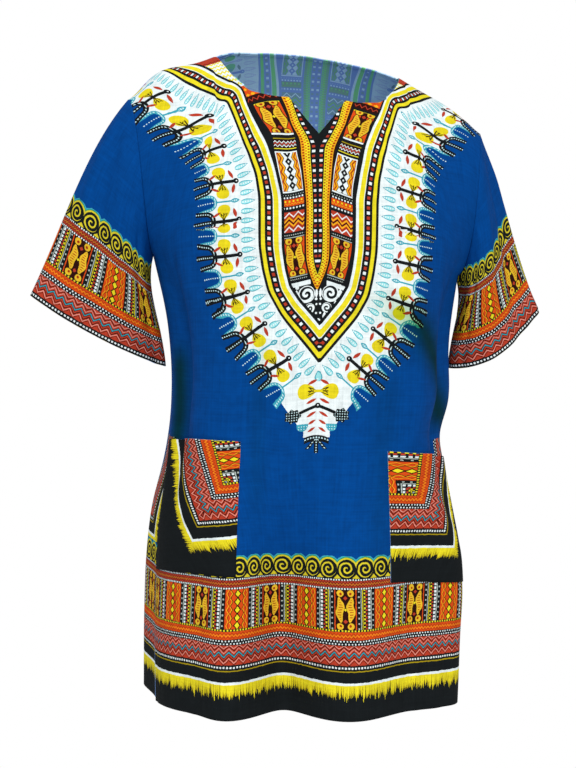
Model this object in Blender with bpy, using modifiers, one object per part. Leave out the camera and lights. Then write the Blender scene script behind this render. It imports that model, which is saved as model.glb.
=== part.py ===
"""Dashiki shirt, worn shape with no wearer in it.

A loose pullover shirt of printed cotton: front and back panels, two short
sleeves set into straight dropped armholes, and two patch pockets sewn low on
the front. The neck is wide, with a V notch at the centre front, and the side
seams stop above the hem as short vents. Every piece is a cloth wall.

Frame: metres, +Z up, the front faces -Y, and +X is the wearer's left. The
origin is in the middle of the neck opening at the height of the shoulders,
where a wearer carries the shirt.
"""

from collections import namedtuple
from math import pi

import bpy
import numpy as np

# Cloth and seams
WALL = 0.0016  # thickness of every cloth wall
SEAM_GAP = 0.0004  # clear gap between pieces that are sewn together
POCKET_GAP = 0.0004  # clear gap between a pocket and the panel it lies on
SLEEVE_GAP = 0.0006  # clear gap between a sleeve and its armhole

# Driving sizes
BODY_LENGTH = 0.760  # from the neck point of the shoulder seam to the hem
ARMPIT_HEIGHT = 0.515  # armpit above the hem
NECK_SHARE = 0.52  # neck point, as a share of the way to the shoulder tip
COLLAR_LINE = 0.0130  # height that the shoulder line would reach on the centre line
NAPE_RISE = 0.0190  # how much higher the back panel carries at the nape
SIDE_SAG = 0.016  # how much lower the cloth hangs at the side seams than at the centre
VENT_HEIGHT = 0.100  # side vents, up from the hem
VENT_SPREAD = 0.007  # how far each panel's edge leaves the seam at the hem
POCKET_BOTTOM = 0.158  # pockets, up from the hem
POCKET_TOP = 0.310
POCKET_INNER = 0.290  # pocket's inner and outer edges, as shares of the half width
POCKET_OUTER = 0.975

# Squareness of rounded quarters: 0 is an ellipse, and more is squarer
RING_SQUARE = 0.025
YOKE_SQUARE_FRONT = 0.02
YOKE_SQUARE_BACK = 0.06

# Rings of the body, from the hem to the armpit: height above the hem, half
# widths on the two sides, depths of the front and the back, and how far the
# back panel swells out behind each side seam.
Ring = namedtuple("Ring", "height right left front back swell_right swell_left")
BODY_RINGS = [
    Ring(0.000, 0.182, 0.176, 0.135, 0.134, 0.023, 0.012),
    Ring(0.100, 0.182, 0.180, 0.131, 0.129, 0.022, 0.012),
    Ring(0.150, 0.180, 0.183, 0.129, 0.126, 0.022, 0.012),
    Ring(0.200, 0.177, 0.181, 0.127, 0.122, 0.020, 0.012),
    Ring(0.300, 0.164, 0.165, 0.125, 0.114, 0.010, 0.008),
    Ring(0.335, 0.161, 0.160, 0.126, 0.112, 0.008, 0.008),
    Ring(0.375, 0.160, 0.170, 0.128, 0.110, 0.006, 0.008),
    Ring(0.430, 0.164, 0.170, 0.130, 0.110, 0.004, 0.006),
    Ring(0.515, 0.182, 0.180, 0.131, 0.114, 0.000, 0.000),
]

# Armholes: how far out the shoulder tip is and its height before the lean, how
# far the shoulder bulges up inside it, and how far the armhole reaches
# forwards and backwards of the shoulder line.
Armhole = namedtuple("Armhole", "tip_out tip_height bulge forward backward")
RIGHT_ARMHOLE = Armhole(0.211, -0.0655, 0.011, 0.050, 0.044)
LEFT_ARMHOLE = Armhole(0.208, -0.0785, 0.004, 0.050, 0.046)

# The wearer's left shoulder hangs lower: fall per metre out, by height.
Lean = namedtuple("Lean", "height fall")
LEANS = [Lean(0.0, 0.01), Lean(0.2, 0.065), Lean(0.5, 0.07), Lean(0.7, 0.06), Lean(0.78, 0.105)]

# The front hangs a little turned: how far its centre line lies to the wearer's
# right, as a share of the half width, by height above the hem.
Drift = namedtuple("Drift", "height share")
DRIFTS = [Drift(0.0, 0.026), Drift(0.2, 0.026), Drift(0.3, 0.022), Drift(0.4, 0.010), Drift(0.515, 0)]

# Columns of a panel from its centre line to its side, each with its share of
# the half width up to the armpit and at its top end, and how far its top end
# drops below the shoulder line. The front has the V notch.
Column = namedtuple("Column", "low top drop")
FRONT_NECK = [
    Column(0.000, 0.000, 0.1110),
    Column(0.045, 0.050, 0.0975),
    Column(0.090, 0.100, 0.0840),
    Column(0.140, 0.155, 0.0690),
    Column(0.190, 0.225, 0.0665),
    Column(0.240, 0.300, 0.0610),
    Column(POCKET_INNER, 0.370, 0.0540),
    Column(0.360, 0.430, 0.0390),
    Column(0.430, 0.475, 0.0240),
    Column(0.505, 0.503, 0.0110),
]
BACK_NECK = [
    Column(0.000, 0.000, 0.0255),
    Column(0.080, 0.090, 0.0250),
    Column(0.160, 0.180, 0.0230),
    Column(0.240, 0.270, 0.0193),
    Column(0.320, 0.350, 0.0137),
    Column(0.390, 0.420, 0.0074),
    Column(0.460, 0.475, 0.0030),
    Column(0.520, 0.505, 0.0008),
]
SHOULDER = [
    Column(0.580, NECK_SHARE, 0),
    Column(0.650, 0.600, 0),
    Column(0.720, 0.680, 0),
    Column(0.790, 0.760, 0),
    Column(0.860, 0.840, 0),
    Column(0.925, 0.910, 0),
    Column(POCKET_OUTER, 0.965, 0),
    Column(1.000, 1.000, 0),
]

# Folds: where each one lies on the cloth at the hem (metres from the centre),
# how far it leans sideways per metre of height, its half width, how far it
# stands out (in where negative), and the heights at which it starts, is at
# its full size (from, to) and has faded away.
Fold = namedtuple("Fold", "at lean wide out starts full_from full_to ends")
FRONT_FOLDS = [
    Fold(-0.080, 0.01, 0.032, 0.024, -0.10, -0.05, 0.06, 0.34),
    Fold(-0.028, -0.02, 0.030, -0.044, -0.10, -0.05, 0.06, 0.32),
    Fold(0.032, 0.03, 0.036, 0.022, -0.10, -0.05, 0.06, 0.36),
    Fold(0.110, 0.03, 0.038, -0.010, -0.10, -0.05, 0.08, 0.34),
    Fold(0.195, -0.03, 0.036, 0.008, -0.10, -0.05, 0.10, 0.32),
    Fold(-0.188, -0.02, 0.030, -0.017, 0.20, 0.32, 0.42, 0.56),
    Fold(0.185, 0.02, 0.034, -0.018, 0.18, 0.31, 0.44, 0.58),
    Fold(-0.135, 0.08, 0.026, 0.004, 0.26, 0.36, 0.46, 0.62),
    Fold(0.120, -0.05, 0.026, 0.006, 0.24, 0.36, 0.46, 0.62),
]
BACK_FOLDS = [
    Fold(-0.170, 0.03, 0.034, 0.010, -0.10, -0.05, 0.14, 0.40),
    Fold(-0.098, 0.00, 0.036, -0.014, -0.10, -0.05, 0.12, 0.44),
    Fold(-0.030, 0.02, 0.036, 0.013, -0.10, -0.05, 0.16, 0.50),
    Fold(0.045, -0.02, 0.038, -0.013, -0.10, -0.05, 0.12, 0.46),
    Fold(0.112, 0.00, 0.036, 0.014, -0.10, -0.05, 0.14, 0.44),
    Fold(0.178, -0.03, 0.032, -0.009, -0.10, -0.05, 0.12, 0.38),
    Fold(-0.150, 0.10, 0.028, -0.010, 0.28, 0.40, 0.50, 0.64),
    Fold(0.150, -0.10, 0.028, -0.010, 0.28, 0.40, 0.50, 0.64),
]

# Sleeves: the outer and inner ends of the cuff's long axis, half its depth and
# how far the cuff's middle hangs below its ends; then the directions in which
# the cloth leaves the shoulder tip and the armpit and reaches the cuff's ends.
Sleeve = namedtuple("Sleeve", "outer inner half_depth sag off_tip off_armpit at_outer at_inner")
RIGHT_SLEEVE = Sleeve(
    outer=(-0.328, 0.000, -0.281),
    inner=(-0.168, 0.026, -0.367),
    half_depth=0.030,
    sag=0.007,
    off_tip=(-0.66, 0.00, -0.75),
    off_armpit=(-0.30, 0.02, -0.95),
    at_outer=(-0.44, 0.02, -0.90),
    at_inner=(0.06, 0.02, -0.99),
)
LEFT_SLEEVE = Sleeve(
    outer=(0.292, 0.045, -0.297),
    inner=(0.1760, 0.022, -0.371),
    half_depth=0.046,
    sag=0.018,
    off_tip=(0.34, 0.05, -0.94),
    off_armpit=(0.30, 0.02, -0.95),
    at_outer=(0.46, 0.10, -0.88),
    at_inner=(-0.06, 0.02, -0.99),
)
SLEEVE_STEPS = 12  # rings between the armhole and the cuff

# Rows of the panels: to the pocket's bottom, its top, the armpit and the shoulder
HEM_ROWS = 7
POCKET_ROWS = 6
SIDE_ROWS = 8
YOKE_ROWS = 15

# Colours (linear), roughness of plain printed cotton
BLUE = (0.004, 0.070, 0.330, 1)
BORDER = (0.300, 0.060, 0.020, 1)
POCKET_CLOTH = (0.250, 0.040, 0.015, 1)
COTTON_ROUGHNESS = 0.85


def curve(at, places, values):
    """A smooth curve through (places, values), read at each number in at."""
    places, values = np.asarray(places, float), np.asarray(values, float)
    slopes = np.gradient(values, places)
    at = np.clip(np.asarray(at, float), places[0], places[-1])
    k = np.clip(np.searchsorted(places, at, side="right") - 1, 0, len(places) - 2)
    span = places[k + 1] - places[k]
    f = (at - places[k]) / span
    return (
        values[k] * (1 + 2 * f) * (1 - f) ** 2
        + slopes[k] * span * f * (1 - f) ** 2
        + values[k + 1] * f * f * (3 - 2 * f)
        + slopes[k + 1] * span * f * f * (f - 1)
    )


def column(table, name):
    return [getattr(row, name) for row in table]


def ring_size(height, name):
    return curve(height, column(BODY_RINGS, "height"), column(BODY_RINGS, name))


def armhole_size(u, name):
    return by_side(u, getattr(RIGHT_ARMHOLE, name), getattr(LEFT_ARMHOLE, name))


def ease(at, low, high):
    """0 up to low, 1 from high, and smooth between them."""
    f = np.clip((np.asarray(at, float) - low) / (high - low), 0, 1)
    return f * f * (3 - 2 * f)


def by_side(u, right, left):
    """One value on the wearer's right side, where u is negative, and another on the left."""
    return np.where(u < 0, right, left)


def quarter(share, square):
    """A rounded quarter turn: how far out (0 to 1) and how deep (1 to 0) at a share of the way."""
    angle = share * pi / 2
    out = (np.sin(angle) + square * np.sin(3 * angle)) / (1 - square)
    deep = (np.cos(angle) - square * np.cos(3 * angle)) / (1 - square)
    return out, deep


def lower_body(u, height, front):
    """Points of the rings below the armpit; u is -1 to 1 from side seam to side seam."""
    out, deep = quarter(np.abs(u), RING_SQUARE)
    x = by_side(u, ring_size(height, "right"), ring_size(height, "left")) * out
    if front:
        y = -ring_size(height, "front") * deep
    else:
        y = ring_size(height, "back") * deep
        swell = by_side(u, ring_size(height, "swell_right"), ring_size(height, "swell_left"))
        x = x + swell * np.sin(pi * np.clip(1 - np.abs(u), 0, 1) ** 0.8) ** 2
    return np.stack([np.sign(u) * x, y, height - BODY_LENGTH + 0 * u], -1)


def yoke(u, up, front):
    """Points above the armpit; up is 0 at the armpit's height and 1 on the shoulder line."""
    armpit = ARMPIT_HEIGHT - BODY_LENGTH
    rise, turn = quarter(up, YOKE_SQUARE_FRONT if front else YOKE_SQUARE_BACK)
    ring_out, ring_deep = quarter(np.abs(u), RING_SQUARE)
    flat = ease(up, 0.0, 0.6)
    reach = armhole_size(u, "forward" if front else "backward") * np.sin(pi * up)
    depth = ring_size(ARMPIT_HEIGHT, "front" if front else "back") * turn
    y = reach + (depth - reach) * ((1 - flat) * ring_deep + flat * (1 - np.abs(u) ** 3))
    low_out = by_side(u, ring_size(ARMPIT_HEIGHT, "right"), ring_size(ARMPIT_HEIGHT, "left"))
    x = (low_out + (armhole_size(u, "tip_out") - low_out) * up) * ((1 - flat) * ring_out + flat * np.abs(u))
    centre_line = COLLAR_LINE
    if not front:
        centre_line = centre_line + NAPE_RISE * np.clip(1 - (u / NECK_SHARE) ** 4, 0, 1) * up**6
    inward = np.cos(np.abs(u) * pi / 2)
    edge = (armhole_size(u, "tip_height") - armpit) * (1 - np.cos(pi * up)) / 2
    z = armpit + edge * (1 - inward) + (centre_line - armpit) * rise * inward
    outer_share = np.clip((np.abs(u) - NECK_SHARE) / (1 - NECK_SHARE), 0, 1)
    z = z + armhole_size(u, "bulge") * np.sin(pi * outer_share**1.5) ** 2 * ease(up, 0.5, 1)
    return np.stack([np.sign(u) * x, -y if front else y, z], -1)


def half_width(height, front):
    """Length of cloth round half of a panel's rings, from the centre line to the side seam."""
    u = np.linspace(0, 1, 101)[None, :]
    ring = lower_body(u, height, front)
    return np.linalg.norm(np.diff(ring, axis=1), axis=-1).sum(1, keepdims=True)


def surface(u, level, front):
    """Points of a panel: level is a height up to the armpit, and 1 more than up above it."""
    below = lower_body(u, np.minimum(level, ARMPIT_HEIGHT), front)
    above = yoke(u, np.clip(level - 1, 0, 1), front)
    return np.where((level < 1)[..., None], below, above)


def outward_normals(u, level, front):
    """Unit vectors out of the panel, from small steps across and up its surface."""
    step = 1e-4
    low = np.where(level < 1, level - step, np.maximum(level - step, 1))
    high = np.where(level < 1, level + step, np.minimum(level + step, 2))
    across = surface(u + step, level, front) - surface(u - step, level, front)
    upward = surface(u, high, front) - surface(u, low, front)
    normal = np.cross(across, upward) * (1 if front else -1)
    return normal / np.linalg.norm(normal, axis=-1, keepdims=True)


def fold_depth(folds, cloth_at, height):
    """How far the folds of a table move the cloth outwards at each point."""
    depth = 0 * (cloth_at + height)
    for fold in folds:
        offset = (cloth_at - fold.at - fold.lean * height) / fold.wide
        fade = ease(height, fold.starts, fold.full_from) * (1 - ease(height, fold.full_to, fold.ends))
        depth += fold.out * np.exp(-offset * offset) * fade
    return depth


def top_levels(columns, u, front):
    """Where each column ends: its up, found from its drop below the shoulder line."""
    ups = np.linspace(0, 1, 401)
    ends = []
    for share, drop in zip(u, np.abs(columns_of(columns, "drop"))):
        heights = yoke(share + 0 * ups, ups, front)[..., 2]
        ends.append(np.interp(heights[-1] - drop, heights, ups))
    return np.array(ends)


def columns_of(columns, name):
    """A column table's values from the right side seam to the left one."""
    half = np.array(column(columns, name), float)
    sign = 1 if name == "drop" else -1
    return np.concatenate([sign * half[:0:-1], half])


def panel_grid(columns, folds, front):
    """Rows by columns of points of the front or back panel, from the hem to the top."""
    low, top = columns_of(columns, "low"), columns_of(columns, "top")
    heights = np.concatenate(
        [
            np.linspace(0, POCKET_BOTTOM, HEM_ROWS + 1),
            np.linspace(POCKET_BOTTOM, POCKET_TOP, POCKET_ROWS + 1)[1:],
            np.linspace(POCKET_TOP, ARMPIT_HEIGHT, SIDE_ROWS + 1)[1:],
        ]
    )[:, None]
    # Inner columns keep to the grain of the cloth; those by the seam take up the flare.
    slack = half_width(np.array([[ARMPIT_HEIGHT]]), front) / half_width(heights, front) - 1
    u_low = low * (1 + slack * (1 - np.abs(low) ** 3))
    if front:
        drift = curve(heights, column(DRIFTS, "height"), column(DRIFTS, "share"))
        u_low = u_low - drift * (1 - low**2)
    share = np.linspace(0, 1, YOKE_ROWS + 1)[1:, None]
    ups = (1 - (1 - share) ** 1.15) * top_levels(columns, top, front)
    u_high = low + (top - low) * share**3
    u = np.concatenate([u_low, u_high])
    level = np.concatenate([heights + 0 * low, 1 + ups])
    grid = surface(u, level, front)
    steps = np.linalg.norm(np.diff(grid, axis=0), axis=-1)
    height = np.concatenate([0 * low[None, :], np.cumsum(steps, axis=0)])
    width = half_width(np.array([[ARMPIT_HEIGHT]]), front)
    fold = fold_depth(folds, low * width, height) * (1 - np.abs(low) ** 8)
    grid = grid + outward_normals(u, level, front) * fold[..., None]
    # The cloth sags beside the seams; the panels keep the seam gap there, and spread at the vents.
    sag = SIDE_SAG * low**2 * (1 - ease(height, POCKET_TOP, ARMPIT_HEIGHT - 0.03))
    sag = sag * (0.5 + 0.5 * ease(height, 0, POCKET_BOTTOM))
    grid[..., 2] -= sag
    away = SEAM_GAP / 2 + VENT_SPREAD * (1 - ease(height, 0, VENT_HEIGHT)) * np.abs(low) ** 10
    grid[..., 1] += -away if front else away
    above_hem = grid[..., 2] + BODY_LENGTH
    grid[..., 2] -= curve(above_hem, column(LEANS, "height"), column(LEANS, "fall")) * grid[..., 0]
    return grid


def short_diagonals(grid, closed=False):
    """Which diagonal of each cell of a grid of points is the shorter one: True is the first."""
    if closed:
        grid = np.concatenate([grid, grid[:, :1]], axis=1)
    first = np.linalg.norm(grid[1:, 1:] - grid[:-1, :-1], axis=-1)
    second = np.linalg.norm(grid[1:, :-1] - grid[:-1, 1:], axis=-1)
    return first <= second + 1e-6


def grid_faces(diagonals, closed=False):
    """Two triangles for each cell of a grid of points; a closed grid joins its last column on."""
    rows, cells = diagonals.shape
    cols = cells if closed else cells + 1
    r, c = np.meshgrid(np.arange(rows), np.arange(cells), indexing="ij")
    a, b = r * cols + c, r * cols + (c + 1) % cols
    one = np.stack([a, b, b + cols, a, b + cols, a + cols], -1)
    two = np.stack([a, b, a + cols, b, b + cols, a + cols], -1)
    return np.where(diagonals[..., None], one, two).reshape(-1, 3)


def grid_normals(grid, diagonals):
    """The direction in which Solidify moves each point: face normals weighed by corner angle."""
    points, faces = grid.reshape(-1, 3), grid_faces(diagonals)
    corners = points[faces]
    facing = unit(np.cross(corners[:, 1] - corners[:, 0], corners[:, 2] - corners[:, 0]))
    normals = np.zeros_like(points)
    for k in range(3):
        one = unit(corners[:, (k + 1) % 3] - corners[:, k])
        two = unit(corners[:, (k + 2) % 3] - corners[:, k])
        angle = np.arccos(np.clip((one * two).sum(1), -1, 1))
        np.add.at(normals, faces[:, k], facing * angle[:, None])
    return unit(normals).reshape(grid.shape)


def unit(vectors):
    return vectors / np.linalg.norm(vectors, axis=-1, keepdims=True)


def loft(name, grid, diagonals, colour, offset, collection):
    """A cloth wall on a grid of points: two triangles a cell, given its thickness by Solidify."""
    mesh = bpy.data.meshes.new(name)
    closed = diagonals.shape[1] == grid.shape[1]
    faces = grid_faces(diagonals, closed)
    mesh.from_pydata(grid.reshape(-1, 3).tolist(), [], faces.tolist())
    mesh.validate()
    mesh.shade_smooth()
    obj = bpy.data.objects.new(name, mesh)
    collection.objects.link(obj)
    mesh.materials.append(cotton(name + "_cotton", colour))
    wall = obj.modifiers.new("cloth_wall", "SOLIDIFY")
    wall.thickness = WALL
    wall.offset = offset
    wall.use_even_offset = False
    return obj


def cotton(name, colour):
    material = bpy.data.materials.new(name)
    material.use_nodes = True
    shader = material.node_tree.nodes["Principled BSDF"]
    shader.inputs["Base Color"].default_value = colour
    shader.inputs["Roughness"].default_value = COTTON_ROUGHNESS
    return material


def armhole_loop(front_grid, back_grid, edge):
    """The outer edge of an armhole, from the shoulder tip down the front and up the back."""
    front = front_grid + grid_normals(front_grid, short_diagonals(front_grid)) * WALL
    back = back_grid + grid_normals(back_grid, short_diagonals(back_grid)) * WALL
    other = -1 - edge  # the back panel runs the other way round
    return np.concatenate([front[-YOKE_ROWS - 1 :, edge][::-1], back[-YOKE_ROWS - 1 :, other][1:-1]])


def sleeve_grid(start, sleeve, side):
    """Rings of a sleeve from its armhole to its cuff, each point on its own smooth path."""
    turn = 2 * pi * np.arange(len(start)) / len(start)
    outer, inner = np.array(sleeve.outer), np.array(sleeve.inner)
    down = np.array([0, 0, -1])
    top_share = (1 + np.cos(turn))[:, None] / 2
    end = inner + (outer - inner) * top_share + down * sleeve.sag * (np.sin(turn) ** 2)[:, None]
    end = end + np.array([0, -sleeve.half_depth, 0]) * np.sin(turn)[:, None]
    leave = top_share * np.array(sleeve.off_tip) + (1 - top_share) * np.array(sleeve.off_armpit)
    arrive = top_share * np.array(sleeve.at_outer) + (1 - top_share) * np.array(sleeve.at_inner)
    # Where the cloth drops steeply off the shoulder tip, its own wall needs room as well.
    room = SLEEVE_GAP + WALL * ease(top_share, 0.55, 1) * np.abs(unit(leave)[:, 2:])
    start = start + np.array([side, 0, 0]) * room + down * SLEEVE_GAP / 2
    reach = np.linalg.norm(end - start, axis=1, keepdims=True)
    first, second = start + unit(leave) * reach * 0.30, end - unit(arrive) * reach * 0.35
    k = np.linspace(0, 1, SLEEVE_STEPS + 1)[:, None, None]
    path = start * (1 - k) ** 3 + 3 * first * k * (1 - k) ** 2
    return path + 3 * second * k * k * (1 - k) + end * k**3


def pocket_on(front_grid, side):
    """The part of the front panel under a pocket, moved out by the wall and a gap, and its cells."""
    low = columns_of(FRONT_NECK + SHOULDER, "low") * side
    across = np.nonzero((low >= POCKET_INNER - 1e-6) & (low <= POCKET_OUTER + 1e-6))[0]
    diagonals = short_diagonals(front_grid)
    lifted = front_grid + grid_normals(front_grid, diagonals) * (WALL + POCKET_GAP)
    rows = slice(HEM_ROWS, HEM_ROWS + POCKET_ROWS)
    grid = lifted[HEM_ROWS : HEM_ROWS + POCKET_ROWS + 1, across[0] : across[-1] + 1]
    return grid, diagonals[rows, across[0] : across[-1]]


def main():
    for obj in list(bpy.data.objects):
        bpy.data.objects.remove(obj)
    shirt = bpy.data.collections.new("dashiki_shirt")
    bpy.context.scene.collection.children.link(shirt)

    front = panel_grid(FRONT_NECK + SHOULDER, FRONT_FOLDS, True)
    back = panel_grid(BACK_NECK + SHOULDER, BACK_FOLDS, False)[:, ::-1]
    loft("front_panel", front, short_diagonals(front), BLUE, 1, shirt)
    loft("back_panel", back, short_diagonals(back), BLUE, 1, shirt)
    right = sleeve_grid(armhole_loop(front, back, 0), RIGHT_SLEEVE, -1)[:, ::-1]
    left = sleeve_grid(armhole_loop(front, back, -1), LEFT_SLEEVE, +1)
    loft("sleeve_right", right, short_diagonals(right, True), BORDER, -1, shirt)
    loft("sleeve_left", left, short_diagonals(left, True), BORDER, -1, shirt)
    loft("pocket_right", *pocket_on(front, -1), POCKET_CLOTH, 1, shirt)
    loft("pocket_left", *pocket_on(front, +1), POCKET_CLOTH, 1, shirt)


main()
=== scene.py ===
# %% [markdown]
# # A dashiki shirt, dressed over its own solids
#
# A dashiki is a loose pullover shirt of printed cotton. It is a good first garment to
# model, because a tailor cuts it from a few nearly straight pieces: a front, a back, two
# short sleeves and two patch pockets. All the richness lies in the print, which is laid
# out on the flat cloth before it is cut: an ornament round the neck and borders along
# the hem and the cuffs.
#
# The notebook follows the tailor. It makes each piece as a curved surface with numpy,
# gives every point of it the place that it had on the flat cloth, and then draws the
# print with nodes that read those flat places, so the pattern bends with the folds.

from collections import namedtuple
from functools import partialmethod
from math import cos, pi, radians, sin

import bpy
import numpy as np
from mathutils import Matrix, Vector


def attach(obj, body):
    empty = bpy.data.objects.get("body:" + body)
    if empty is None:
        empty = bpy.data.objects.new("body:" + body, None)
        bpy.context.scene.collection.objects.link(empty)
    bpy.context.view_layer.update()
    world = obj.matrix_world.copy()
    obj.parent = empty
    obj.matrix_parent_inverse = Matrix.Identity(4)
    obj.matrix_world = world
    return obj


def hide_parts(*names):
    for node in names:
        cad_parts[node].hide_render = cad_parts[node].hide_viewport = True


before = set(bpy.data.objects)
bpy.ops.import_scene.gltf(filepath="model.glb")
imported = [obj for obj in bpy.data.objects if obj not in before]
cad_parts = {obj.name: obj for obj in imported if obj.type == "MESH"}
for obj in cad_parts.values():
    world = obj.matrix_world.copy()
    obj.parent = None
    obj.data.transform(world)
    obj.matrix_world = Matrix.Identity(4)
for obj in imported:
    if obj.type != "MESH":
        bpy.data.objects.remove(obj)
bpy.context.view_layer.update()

# %% [markdown]
# ## The sizes of the shirt
#
# The solids of this part were worked out from a few sizes, and the same sizes are
# repeated here, in metres: rings round the body, the two armholes and the line of the
# neck. `LEANS` is the share by which the shirt leans to one side at each height, and
# `DRIFTS` how far the middle of the front lies beside the centre. The frame has +Z up and
# the front facing -Y. The wearer's right side is at -X.

# %% Sizes
def table(kind, *rows):
    """Named rows from plain ones."""
    return [kind(*row) for row in rows]


WALL = 0.0016  # the solids' cloth walls; the dressed cloth lies on their outer faces
BODY_LENGTH, ARMPIT_HEIGHT = 0.760, 0.515
NECK_SHARE, COLLAR_LINE, NAPE_RISE = 0.52, 0.0130, 0.0190
SIDE_SAG, VENT_HEIGHT, VENT_SPREAD = 0.016, 0.100, 0.007
POCKET_BOTTOM, POCKET_TOP, POCKET_INNER, POCKET_OUTER = 0.158, 0.310, 0.290, 0.975
RING_SQUARE, YOKE_SQUARE_FRONT, YOKE_SQUARE_BACK = 0.025, 0.02, 0.06

Ring = namedtuple("Ring", "height right left front back swell_right swell_left")
BODY_RINGS = table(
    Ring,
    (0.000, 0.182, 0.176, 0.135, 0.134, 0.023, 0.012),
    (0.100, 0.182, 0.180, 0.131, 0.129, 0.022, 0.012),
    (0.150, 0.180, 0.183, 0.129, 0.126, 0.022, 0.012),
    (0.200, 0.177, 0.181, 0.127, 0.122, 0.020, 0.012),
    (0.300, 0.164, 0.165, 0.125, 0.114, 0.010, 0.008),
    (0.335, 0.161, 0.160, 0.126, 0.112, 0.008, 0.008),
    (0.375, 0.160, 0.170, 0.128, 0.110, 0.006, 0.008),
    (0.430, 0.164, 0.170, 0.130, 0.110, 0.004, 0.006),
    (0.515, 0.182, 0.180, 0.131, 0.114, 0.000, 0.000),
)
Armhole = namedtuple("Armhole", "tip_out tip_height bulge forward backward")
RIGHT_ARMHOLE = Armhole(0.211, -0.0655, 0.011, 0.050, 0.044)
LEFT_ARMHOLE = Armhole(0.208, -0.0785, 0.004, 0.050, 0.046)
Step = namedtuple("Step", "height size")
LEANS = table(Step, (0, 0.01), (0.2, 0.065), (0.5, 0.07), (0.7, 0.06), (0.78, 0.105))
DRIFTS = table(Step, (0, 0.026), (0.2, 0.026), (0.3, 0.022), (0.4, 0.010), (0.515, 0))

# Edges of the neck and the shoulder: each column's share of the half width below
# the armpit (low) and at its top end (top), and its drop below the shoulder line.
Column = namedtuple("Column", "low top drop")
NOTCH_LOW, NECK_LOW = 0.14, 0.58
V_NOTCH = table(
    Column,
    (0, 0, 0.1110), (0.045, 0.050, 0.0975), (0.09, 0.1, 0.084),
    (NOTCH_LOW, 0.155, 0.069),
)
FRONT_NECK = table(
    Column,
    (NOTCH_LOW, 0.155, 0.0690), (0.190, 0.225, 0.0665), (0.240, 0.300, 0.0610),
    (0.290, 0.370, 0.0540), (0.360, 0.430, 0.0390), (0.430, 0.475, 0.0240),
    (0.505, 0.503, 0.0110), (NECK_LOW, NECK_SHARE, 0),
)
BACK_NECK = table(
    Column,
    (0, 0, 0.0255), (0.080, 0.090, 0.0250), (0.160, 0.180, 0.0230),
    (0.240, 0.270, 0.0193), (0.320, 0.350, 0.0137), (0.390, 0.420, 0.0074),
    (0.460, 0.475, 0.0030), (NECK_LOW, NECK_SHARE, 0),
)
SHOULDER = table(Column, (NECK_LOW, NECK_SHARE, 0), (0.790, 0.760, 0), (1, 1, 0))

# %% [markdown]
# ## The folds
#
# Cloth that hangs from shoulders makes soft vertical folds. The large ones are in the
# solids, and are repeated here so that the cloth lies on them. Each row says where a
# fold lies at the hem, how far it leans per metre of height, its half width, how far it
# stands out (in where negative), and the heights where it starts, is full and fades.
# Two further tables add the smaller folds and tension lines that only the visible cloth
# has, also on the sides that the first view doesn't show.

# %% Folds
Fold = namedtuple("Fold", "at lean wide out starts full_from full_to ends")
AT_HEM = (-0.10, -0.05)  # a fold that is full from the hem starts below it

FRONT_FOLDS = table(
    Fold,
    (-0.080, 0.01, 0.032, 0.024, *AT_HEM, 0.06, 0.34),
    (-0.028, -0.02, 0.030, -0.044, *AT_HEM, 0.06, 0.32),
    (0.032, 0.03, 0.036, 0.022, *AT_HEM, 0.06, 0.36),
    (0.110, 0.03, 0.038, -0.010, *AT_HEM, 0.08, 0.34),
    (0.195, -0.03, 0.036, 0.008, *AT_HEM, 0.10, 0.32),
    (-0.188, -0.02, 0.030, -0.017, 0.20, 0.32, 0.42, 0.56),
    (0.185, 0.02, 0.034, -0.018, 0.18, 0.31, 0.44, 0.58),
    (-0.135, 0.08, 0.026, 0.004, 0.26, 0.36, 0.46, 0.62),
    (0.120, -0.05, 0.026, 0.006, 0.24, 0.36, 0.46, 0.62),
)
BACK_FOLDS = table(
    Fold,
    (-0.170, 0.03, 0.034, 0.010, *AT_HEM, 0.14, 0.40),
    (-0.098, 0.00, 0.036, -0.014, *AT_HEM, 0.12, 0.44),
    (-0.030, 0.02, 0.036, 0.013, *AT_HEM, 0.16, 0.50),
    (0.045, -0.02, 0.038, -0.013, *AT_HEM, 0.12, 0.46),
    (0.112, 0.00, 0.036, 0.014, *AT_HEM, 0.14, 0.44),
    (0.178, -0.03, 0.032, -0.009, *AT_HEM, 0.12, 0.38),
    (-0.150, 0.10, 0.028, -0.010, 0.28, 0.40, 0.50, 0.64),
    (0.150, -0.10, 0.028, -0.010, 0.28, 0.40, 0.50, 0.64),
)
SMALL_FRONT_FOLDS = table(
    Fold,
    (-0.050, 0.05, 0.010, 0.0016, 0.16, 0.24, 0.32, 0.42),
    (-0.022, 0.03, 0.009, -0.0014, 0.18, 0.26, 0.34, 0.44),
    (0.014, -0.02, 0.010, 0.0014, 0.20, 0.28, 0.36, 0.44),
    (0.068, 0.04, 0.012, -0.0016, 0.16, 0.24, 0.34, 0.46),
    (-0.125, 0.12, 0.012, 0.0022, 0.30, 0.38, 0.50, 0.62),
    (0.152, -0.10, 0.012, 0.0020, 0.32, 0.42, 0.52, 0.64),
    (-0.205, 0.06, 0.010, -0.0024, 0.30, 0.38, 0.46, 0.60),
    (0.215, -0.10, 0.011, -0.0026, 0.28, 0.36, 0.46, 0.62),
    (-0.232, 0.02, 0.006, -0.0016, *AT_HEM, 0.04, 0.10),
    (0.160, 0.00, 0.014, -0.0026, *AT_HEM, 0.06, 0.16),
)
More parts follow.
